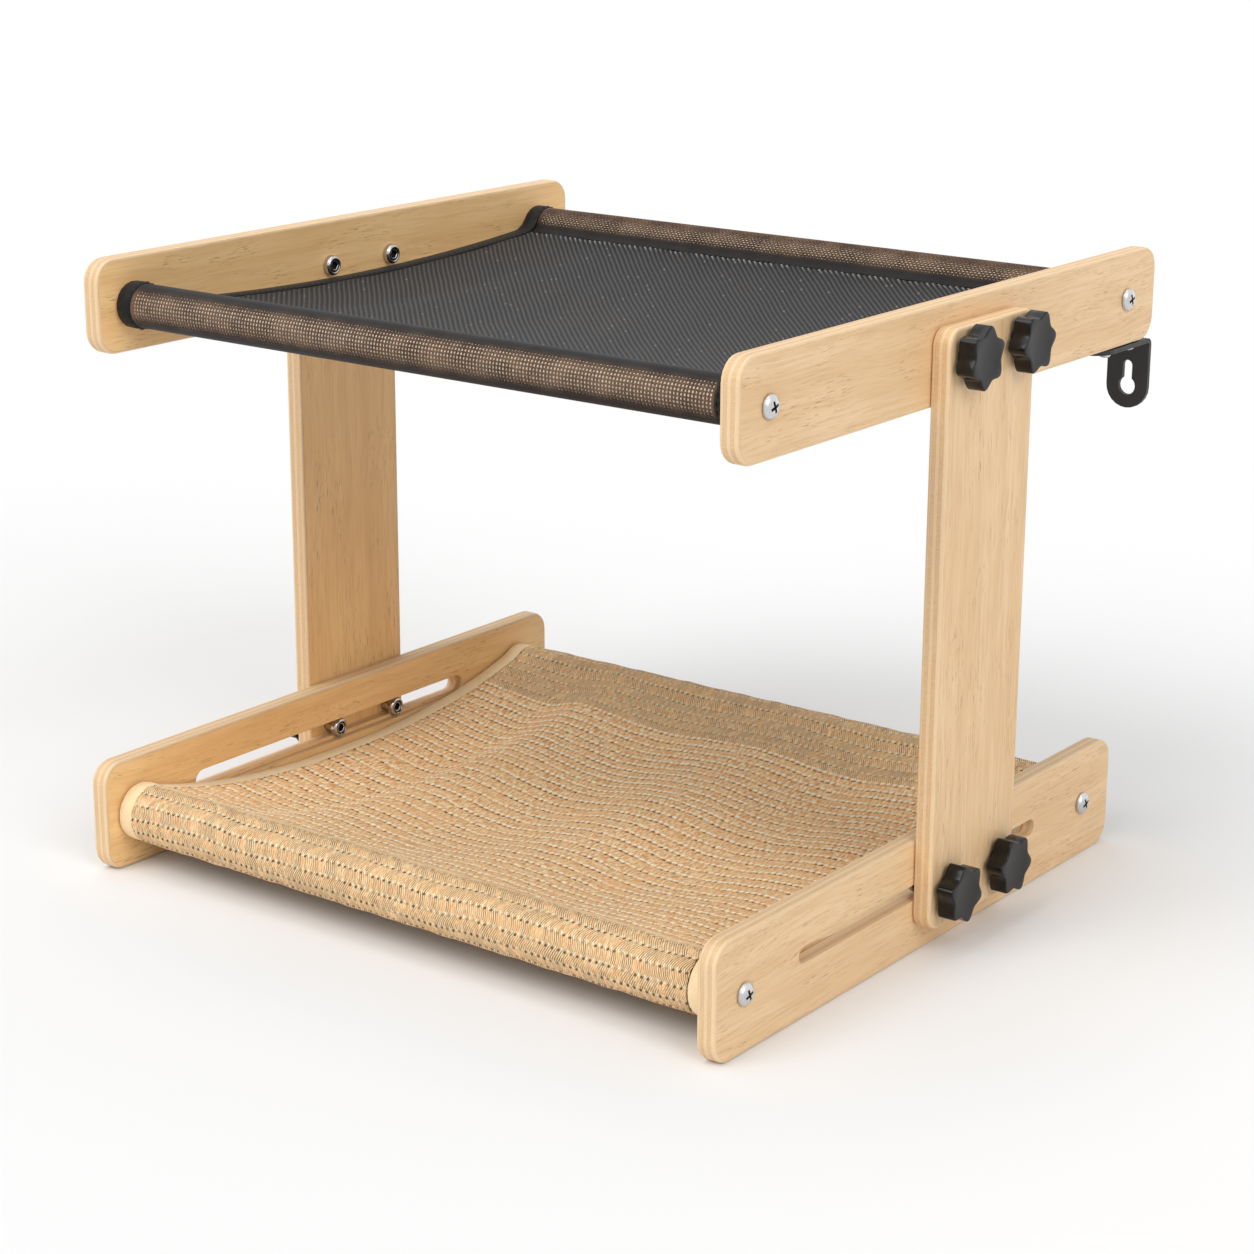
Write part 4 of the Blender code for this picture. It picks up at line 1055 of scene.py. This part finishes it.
def make_sleeve(label, end):
    """Two faces of parallelogram cells, with a hole through each cell of the rows that are open."""
    bed, cloth = MESH_BED, SLEEVES[label]
    _, _, marks = half_section(bed, 0.0)
    rows = round((marks[4] - marks[1]) / cloth.length)
    strip_xs = np.linspace(-CLOTH_HALF_WIDTH, CLOTH_HALF_WIDTH, SLEEVE_STRIPS)
    strips = [sleeve_section(bed, x, end, rows) for x in strip_xs]
    centre_line, _, wanted, marks = sleeve_section(bed, 0.0, end, rows)
    angles = np.degrees(np.arctan2(centre_line[:, 1], np.abs(centre_line[:, 0]) - half_span(bed)))
    opened = [marks[2] <= wanted[j] and wanted[j + 1] <= marks[3] and angles[j] <= cloth.top_angle
              and angles[j + 1] >= cloth.low_angle for j in range(rows)]
    from_band = [min((abs(j - k) for k in range(rows) if not opened[k]), default=rows) for j in range(rows)]
    shear = cloth.shift * cloth.width * rows
    columns = math.ceil((2 * CLOTH_HALF_WIDTH + shear) / cloth.width) + 1
    chance = np.random.default_rng(SEED + (end > 0))

    bm = new_shape()
    painted_light_through_layer = bm.verts.layers.float.new("open")
    # The open rows' threads take the painted light from the wood behind, fading to nothing towards the closed
    # bands; towards the roll's underside this fade is painted shade.
    painted_light_through = [min(1.0, max(0.0, min(cloth.top_angle - a, a - cloth.low_angle) / PAINTED_LIGHT_FADE)) for a in angles]
    faces = []
    for face in (0, 1):
        lines = []
        for j in range(rows + 1):
            ys, zs = np.array([strip[face][j] for strip in strips]).T
            xs = [-CLOTH_HALF_WIDTH - shear + (i + cloth.shift * j) * cloth.width for i in range(columns + 1)]
            line = cloth_row(bm, xs, lambda x, i: (x, np.interp(x, strip_xs, ys), np.interp(x, strip_xs, zs)))
            for vert in line:
                vert[painted_light_through_layer] = painted_light_through[j]
            lines.append(line)
        faces.append(lines)
    for j in range(rows):
        v, w = (MAP_LOW + MAP_HEIGHT * n / rows for n in (j, j + 1))
        for i in range(columns):
            layers = [[lines[j][i], lines[j][i + 1], lines[j + 1][i + 1], lines[j + 1][i]] for lines in faces]
            whole = len(set(layers[0])) == 4 and all(abs(p.co.x) < CLOTH_HALF_WIDTH for p in layers[0])
            if opened[j] and whole:
                share = cloth.share * (1 + chance.uniform(-HOLE_VARIATION, HOLE_VARIATION))
                share *= HOLE_SHARES_AT_BAND.get(from_band[j], 1.0)
                hole_cell(bm, layers, (v, v, w, w), share, cloth.shift, painted_light_through_layer)
            else:
                for lift, corners in zip((0.0, MAP_LIFT), layers):
                    face_between(bm, list(zip(corners, (v + lift, v + lift, w + lift, w + lift))))
    close_rows(bm, *faces)
    name = "mesh_sleeve_" + label
    mesh = mesh_from(name, bm, MESH_SLEEVE, sharp=0)
    piece = make_piece(name, mesh, bed_centre(bed), "upper_tier", "black_mesh")
    solid = 1 - cloth.share ** 2 * sum(opened) / rows
    return piece, float(wanted[-1] - wanted[0]), solid


def hole_cell(bm, layers, heights, share, shift, painted_light_through_layer):
    """One cell of open mesh: a frame of four faces on each side, and the walls of its hole."""
    middles = [sum((vert.co for vert in corners), Vector()) / 4 for corners in layers]
    inward = (middles[1] - middles[0]).normalized()
    rings = []
    for corners, centre, lift in zip(layers, middles, (THREAD_ROUND, 0.0)):
        across = corners[1].co - corners[0].co
        along = corners[3].co - corners[0].co - across * shift
        rings.append([bm.verts.new(centre + (across * a + along * b) * share / 2 + inward * lift)
                      for a, b in ((-1, -1), (1, -1), (1, 1), (-1, 1))])
        for vert in rings[-1]:
            vert[painted_light_through_layer] = (corners[0][painted_light_through_layer] + corners[2][painted_light_through_layer]) / 2
    middle_height = sum(heights) / 4
    ring_heights = [middle_height + (height - middle_height) * share for height in heights]
    for k in range(4):
        n = (k + 1) % 4
        for lift, corners, ring in zip((0.0, MAP_LIFT), layers, rings):
            face_between(bm, [(corners[k], heights[k] + lift), (corners[n], heights[n] + lift),
                              (ring[n], ring_heights[n] + lift), (ring[k], ring_heights[k] + lift)])
        face_between(bm, [(rings[0][k], ring_heights[k]), (rings[0][n], ring_heights[n]),
                          (rings[1][n], ring_heights[n] + HOLE_WALL_HEIGHT),
                          (rings[1][k], ring_heights[k] + HOLE_WALL_HEIGHT)])


# Bindings along the side edges of both beds, and their stitches

Trim = namedtuple("Trim", "prefix bed tape thread slot stitch_x cover step")
TRIMS = (Trim("sisal", SISAL_BED, COTTON, BROWN_THREAD, "cotton_tape", CLOTH_HALF_WIDTH, 0.0,
              SISAL_STITCH_STEP),
         Trim("mesh", MESH_EDGE, BLACK_TAPE, BLACK_THREAD, "black_tape", BINDING_INNER_X + STITCH_INSET,
              MESH_EDGE.cover, MESH_STITCH_STEP))


def make_binding(trim, label, side):
    bed = trim.bed
    _, _, marks = whole_section(bed, CLOTH_HALF_WIDTH, bed.cover)
    count = round(marks[-1] / BINDING_STEP)
    wanted = np.linspace(0.0, marks[-1], count, endpoint=False)
    width = BINDING_OUTER_X - BINDING_INNER_X
    bm = new_shape()
    rings = []
    for share, drop in BINDING_EDGE_SHARES:
        cover = bed.cover - BINDING_EDGE_DROP * drop
        outline = at_lengths(bed, CLOTH_HALF_WIDTH, wanted, marks, cover)
        rings.append(ring_at(bm, side * (BINDING_INNER_X + width * share), outline))
    loft(bm, rings, BINDING_MAP)
    bore_and_close(bm, bed, (side * BINDING_INNER_X, side * BINDING_OUTER_X), rings)
    name = f"{trim.prefix}_edge_{label}"
    return make_piece(name, mesh_from(name, bm, trim.tape), bed_centre(bed), bed.tier + "_tier", trim.slot,
                      f"{trim.prefix}_binding_{label}")


def stitch(bm, place, along, normal):
    """One stitch: a short thread that dives into the tape at both ends."""
    sideways = along.cross(normal).normalized()
    angles = [2 * math.pi * k / STITCH_SIDES for k in range(STITCH_SIDES)]
    rings = []
    for share, size_share, sink in STITCH_PROFILE:
        centre = place + along * (share * STITCH_LENGTH) - normal * (sink * STITCH_RADIUS)
        rings.append(ring_of(bm, [centre + (sideways * math.cos(a) + normal * math.sin(a))
                                  * STITCH_RADIUS * size_share for a in angles]))
    skin(bm, rings)
    bm.faces.new(rings[0][::-1])
    bm.faces.new(rings[-1])


def make_stitches(trim, label, side):
    """A row of stitches along one side of a bed, over its upper face and round both rolls."""
    bed = trim.bed
    _, _, marks = whole_section(bed, CLOTH_HALF_WIDTH, trim.cover)
    start, end = marks[1], marks[-2]
    wanted = np.linspace(start, end, round((end - start) / trim.step) + 1)
    chance = np.random.default_rng(STITCH_SEED)
    path, ahead = (at_lengths(bed, CLOTH_HALF_WIDTH, lengths, marks, trim.cover)
                   for lengths in (wanted, wanted + STITCH_LOOK_AHEAD))
    bm = new_shape()
    for (y, z), (next_y, next_z) in zip(path, ahead):
        along = Vector((0.0, next_y - y, next_z - z)).normalized()
        normal = Vector((0.0, along.z, -along.y))
        along = (along + Vector((chance.uniform(-STITCH_SLANT, STITCH_SLANT), 0.0, 0.0))).normalized()
        stitch(bm, Vector((side * trim.stitch_x, y, z)), along, normal)
    name = f"{trim.prefix}_stitches_{label}"
    return make_piece(name, mesh_from(name, bm, trim.thread, sharp=0), bed_centre(bed), bed.tier + "_tier",
                      trim.slot)


# Dowels, screws, bolts and knobs, all turned about the X axis

def turned(bm, profile):
    """Turns (x, radius) points about X; a radius of zero closes the end."""
    rings = [ring_at(bm, x, circle(radius) if radius else [(0.0, 0.0)]) for x, radius in profile]
    skin(bm, rings)
    return rings


def facing(side):
    """The turn that points a fastening made for the right side outwards on either side."""
    return Matrix.Rotation(0.0 if side > 0 else math.pi, 4, "Z")


def corners_of(*tiers):
    """Every end and side of these tiers, as (tier_end_label, side)."""
    return [(f"{tier}_{end}_{label}", side) for tier in tiers for end, _ in ENDS for label, side in SIDES]


def make_dowels():
    half = size("upper_dowel_front").x / 2
    deep = half - DOWEL_BORE_DEPTH
    radius = DOWEL_RADIUS
    for tier in ("lower", "upper"):
        for end, _ in ENDS:
            node = f"{tier}_dowel_{end}"
            bore = size(f"{tier}_screw_{end}_right").z / 2 / SCREW_HEAD_PER_SHANK + DOWEL_BORE_PLAY
            right_half = [(half - DOWEL_EASE, radius), (half, radius - DOWEL_EASE), (half, bore), (deep, bore),
                          (deep, 0)]
            bm = bmesh.new()
            turned(bm, [(-x, r) for x, r in right_half[::-1]] + right_half)
            make_piece(node + "_turned", mesh_from(node, bm, DOWEL_WOOD), middle(node), tier + "_tier",
                       "beech_dowel", node)


def cut_mesh(name, bm, cutter_bm, finish):
    """The first shape less the second."""
    whole = put_object(name + "_whole", mesh_from(name, bm, finish))
    cutter = put_object(name + "_cutter", mesh_from(name + "_cutter", cutter_bm, finish))
    cut = whole.modifiers.new("cut", "BOOLEAN")
    cut.operation = "DIFFERENCE"
    cut.solver = "EXACT"
    cut.object = cutter
    evaluated = whole.evaluated_get(bpy.context.evaluated_depsgraph_get())
    mesh = bpy.data.meshes.new_from_object(evaluated)
    bpy.data.objects.remove(whole)
    bpy.data.objects.remove(cutter)
    mesh.shade_smooth()
    mesh.set_sharp_from_angle(angle=math.radians(SHARP_ANGLE))
    return mesh


def recess_cutter(top, depth, reach, width):
    """A plus-shaped prism along X that narrows towards its foot."""
    half = width / 2
    outline = []
    for quarter in range(4):
        angle = quarter * math.pi / 2 + RECESS_TURN
        cosine, sine = math.cos(angle), math.sin(angle)
        outline += [(u * cosine - v * sine, u * sine + v * cosine)
                    for u, v in ((reach, -half), (reach, half), (half, half))]
    bm = bmesh.new()
    rings = [ring_at(bm, x, [(y * share, z * share) for y, z in outline])
             for x, share in ((top + depth, 1.0), (top, 1.0), (top - depth, RECESS_TAPER))]
    skin(bm, rings)
    fill(bm, rings[0])
    fill(bm, rings[-1])
    return bm


def pan_screw_mesh(name, length, head_radius, head_height, shank_radius, recess_share=1.0):
    """Along X with the head's seat at zero and its cross recess facing +X."""
    bm = bmesh.new()
    dome = [(head_height * h, head_radius * r) for r, h in PAN_PROFILE]
    turned(bm, [(-length, 0.0), (SCREW_TIP - length, shank_radius), (0.0, shank_radius)] + dome
           + [(head_height, 0.0)])
    reach = RECESS_SPAN * recess_share / 2
    cutter = recess_cutter(head_height, RECESS_DEPTH * recess_share, reach, RECESS_WIDTH * recess_share)
    mesh = cut_mesh(name, bm, cutter, ZINC)
    mesh.materials.append(DARK_ZINC)
    for face in mesh.polygons:
        across = math.hypot(face.center.y, face.center.z)
        if across < reach and 0 < face.center.x < RECESS_FLOOR_SHARE * head_height:
            face.material_index = len(mesh.materials) - 1
    return mesh


def make_screws():
    low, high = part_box("upper_screw_front_right")
    seat_x = POST_INNER_X
    mesh = pan_screw_mesh("dowel_screw", seat_x - low.x, (high.z - low.z) / 2, high.x - seat_x,
                          DOWEL_SCREW_SHANK)
    for corner, side in corners_of("lower", "upper"):
        tier, place = corner.split("_", 1)
        node = f"{tier}_screw_{place}"
        centre = middle(node)
        make_piece(node + "_pan", mesh, (side * seat_x, centre.y, centre.z), tier + "_tier",
                   "zinc_plated_steel", node, turn=facing(side))


def make_bracket_screws():
    low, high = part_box("bracket_screw_front_right")
    head_height = BRACKET_SCREW_HEAD
    mesh = pan_screw_mesh("bracket_screw", high.z - low.z - head_height, (high.x - low.x) / 2, head_height,
                          BRACKET_SCREW_SHANK, BRACKET_RECESS_SHARE)
    for end, _ in ENDS:
        for label, _ in SIDES:
            node = f"bracket_screw_{end}_{label}"
            centre = middle(node)
            seat = (centre.x, centre.y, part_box(node)[0].z + head_height)
            make_piece(node + "_pan", mesh, seat, "upper_tier", "zinc_plated_steel", node,
                       turn=Matrix.Rotation(math.pi / 2, 4, "Y"))


def bolt_mesh(name, length, head_radius):
    """Along X: the button head's crown is at zero, its seat a head's height further, the shank beyond."""
    bm = bmesh.new()
    dome = [(BOLT_HEAD_HEIGHT * (1 - h), head_radius * r) for r, h in BUTTON_PROFILE]
    head = turned(bm, dome)
    corner = SOCKET_ACROSS / 2 / math.cos(math.pi / SOCKET_SIDES)
    top = dome[0][0]
    socket = [ring_at(bm, x, circle(radius, SOCKET_SIDES))
              for x, radius in ((top, corner + SOCKET_CHAMFER), (top + SOCKET_CHAMFER, corner),
                                (top + SOCKET_DEPTH, corner))]
    fill(bm, head[0], socket[0])
    skin(bm, socket)
    fill(bm, socket[-1])
    shank = [ring_at(bm, x, circle(radius))
             for x, radius in ((BOLT_HEAD_HEIGHT, BOLT_RADIUS), (length - BOLT_TIP, BOLT_RADIUS),
                               (length, BOLT_RADIUS - BOLT_TIP))]
    fill(bm, head[-1], shank[0])
    skin(bm, shank)
    fill(bm, shank[-1])
    mesh = mesh_from(name, bm, CHROME, sharp=30)
    mesh.materials.append(CHROME_IN_PAINTED_SHADE)
    # The groove round the socket and the socket's inside take the darker chrome: painted shade.
    for face in mesh.polygons:
        share = math.hypot(face.center.y, face.center.z) / head_radius
        in_painted_shade = BUTTON_SHADED_GROOVE[0] < share < BUTTON_SHADED_GROOVE[1] or share < SOCKET_ACROSS / 2 / head_radius
        face.material_index = int(in_painted_shade and face.center.x < BOLT_HEAD_HEIGHT)
    return mesh


def make_bolts():
    for tier in ("upper", "lower"):
        low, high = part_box(f"clamp_bolt_{tier}_front_right")
        mesh = bolt_mesh("clamp_bolt_" + tier, high.x - low.x, (high.z - low.z) / 2)
        for corner, side in corners_of(tier):
            node = "clamp_bolt_" + corner
            centre = middle(node)
            make_piece(node + "_button", mesh, (side * low.x, centre.y, centre.z), "upper_tier",
                       "zinc_plated_steel", node, turn=facing(side))


def star(radius):
    """The outline of a knob: round lobes with a flute between each two."""
    points = []
    for y, z in circle(1.0, KNOB_LOBES * KNOB_STEPS_PER_LOBE):
        flute = ((1 - math.cos(KNOB_LOBES * math.atan2(z, y))) / 2) ** KNOB_LOBE_BREADTH
        distance = radius * (1 - KNOB_FLUTE_SHARE * flute)
        points.append((distance * y, distance * z))
    return points


def knob_mesh(radius, height, bush_radius, bush_length):
    """Along X: the foot at zero and the dished face outwards, with a blind bore in the foot."""
    bm = bmesh.new()
    rings = [ring_at(bm, KNOB_HUB_HEIGHT, star(radius - KNOB_FOOT_EASE)),
             ring_at(bm, KNOB_HUB_HEIGHT + KNOB_FOOT_EASE, star(radius))]
    for step in range(KNOB_FACE_STEPS + 1):
        angle = math.pi / 2 * step / KNOB_FACE_STEPS
        x = height - KNOB_FACE_RADIUS * (1 - math.sin(angle))
        rings.append(ring_at(bm, x, star(radius - KNOB_FACE_RADIUS * (1 - math.cos(angle)))))
    dish_radius = (radius - KNOB_FACE_RADIUS) * (1 - KNOB_FLUTE_SHARE)
    for share in KNOB_FACE_SHARES:
        outline = star((radius - KNOB_FACE_RADIUS) * share)
        dips = [KNOB_DISH * max(0.0, 1 - (math.hypot(y, z) / dish_radius) ** 2) for y, z in outline]
        rings.append(ring_of(bm, [(height - dip, y, z) for dip, (y, z) in zip(dips, outline)]))
    rings.append(ring_of(bm, [(height - KNOB_DISH, 0.0, 0.0)]))
    skin(bm, rings)
    hub = [ring_at(bm, x, circle(radius * KNOB_HUB_SHARE)) for x in (KNOB_HUB_HEIGHT, 0.0)]
    bore = [ring_at(bm, x, circle(bush_radius + BUSH_PLAY)) for x in (0.0, bush_length + BUSH_PLAY)]
    fill(bm, rings[0], hub[0])
    skin(bm, hub)
    skin(bm, bore)
    fill(bm, hub[1], bore[0])
    fill(bm, bore[1])
    return mesh_from("star_knob", bm, PLASTIC, sharp=40)


def make_knobs():
    low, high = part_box("star_knob_upper_front_right")
    bush = size("knob_bush_upper_front_right")
    mesh = knob_mesh(high.y - middle("clamp_bolt_upper_front_right").y, high.x - low.x, bush.y / 2, bush.x)
    for (corner, side), angle in zip(corners_of("upper", "lower"), KNOB_ANGLES):
        axis = middle("clamp_bolt_" + corner)
        turn = facing(side) @ Matrix.Rotation(math.radians(angle), 4, "X")
        make_piece(f"knob_{corner}_star", mesh, (side * low.x, axis.y, axis.z), "knob_" + corner,
                   "black_plastic", "star_knob_" + corner, turn=turn)


# CAD nodes that keep their shape get their finish

def finish_cad_nodes():
    finishes = {"lower_rail": RAIL_PLY, "upper_rail": RAIL_PLY, "post": POST_PLY, "wall_bracket": PAINT,
                "knob_bush": BRASS}
    for name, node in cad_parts.items():
        for prefix, finish in finishes.items():
            if name.startswith(prefix):
                for slot in node.material_slots:
                    slot.material = finish


# Stage: floor, light and camera

def make_floor():
    bm = bmesh.new()
    bmesh.ops.create_grid(bm, x_segments=1, y_segments=1, size=FLOOR_SIZE / 2)
    mesh = bpy.data.meshes.new("floor")
    bm.to_mesh(mesh)
    bm.free()
    mesh.materials.append(FLOOR)
    put_object("floor", mesh, (0, 0, -FLOOR_DROP))


def make_light():
    """Suns that shine along their directions with soft shadows, and a white surround."""
    for name, direction, strength, angle in LAMPS:
        lamp = bpy.data.lights.new(name, "SUN")
        lamp.energy = strength
        lamp.angle = math.radians(angle)
        turn = Vector(direction).to_track_quat("-Z", "Y").to_matrix().to_4x4()
        put_object(name, lamp, turn=turn)
    world = bpy.data.worlds.new("studio")
    bpy.context.scene.world = world
    world.use_nodes = True
    background = world.node_tree.nodes["Background"]
    background.inputs["Color"].default_value = WHITE
    put(background.inputs["Strength"], seen_rays(world.node_tree) * (1 - WORLD_LIGHT) + WORLD_LIGHT)
    bpy.context.scene.view_settings.view_transform = "Standard"


def make_camera():
    data = bpy.data.cameras.new("camera")
    data.sensor_width = SENSOR_MM
    data.lens = CAMERA_LENS_MM
    turn = (Matrix.Rotation(CAMERA_YAW, 4, "Z") @ Matrix.Rotation(math.radians(90) - CAMERA_PITCH, 4, "X")
            @ Matrix.Rotation(CAMERA_ROLL, 4, "Z"))
    bpy.context.scene.camera = put_object("camera", data, CAMERA_PLACE, turn)


# The whole

make_camera()
make_light()
make_floor()
finish_cad_nodes()
make_dowels()
make_screws()
make_bracket_screws()
make_bolts()
make_knobs()

mat, mat_width, mat_length = make_sisal_mat()
sheet, sheet_width, sheet_length = make_mesh_sheet()
sleeves = [make_sleeve(label, end) for label, end in ENDS]
sisal_trim, mesh_trim = [], []
for edge_label, edge_side in SIDES:
    for make_trim in (make_binding, make_stitches):
        for trim, made_pieces in zip(TRIMS, (sisal_trim, mesh_trim)):
            made_pieces.append(make_trim(trim, edge_label, edge_side))
for (sleeve, sleeve_length, solid_share), (end_label, _) in zip(sleeves, ENDS):
    "upper_dowel_" + end_label
    sheet_width * sleeve_length * solid_share
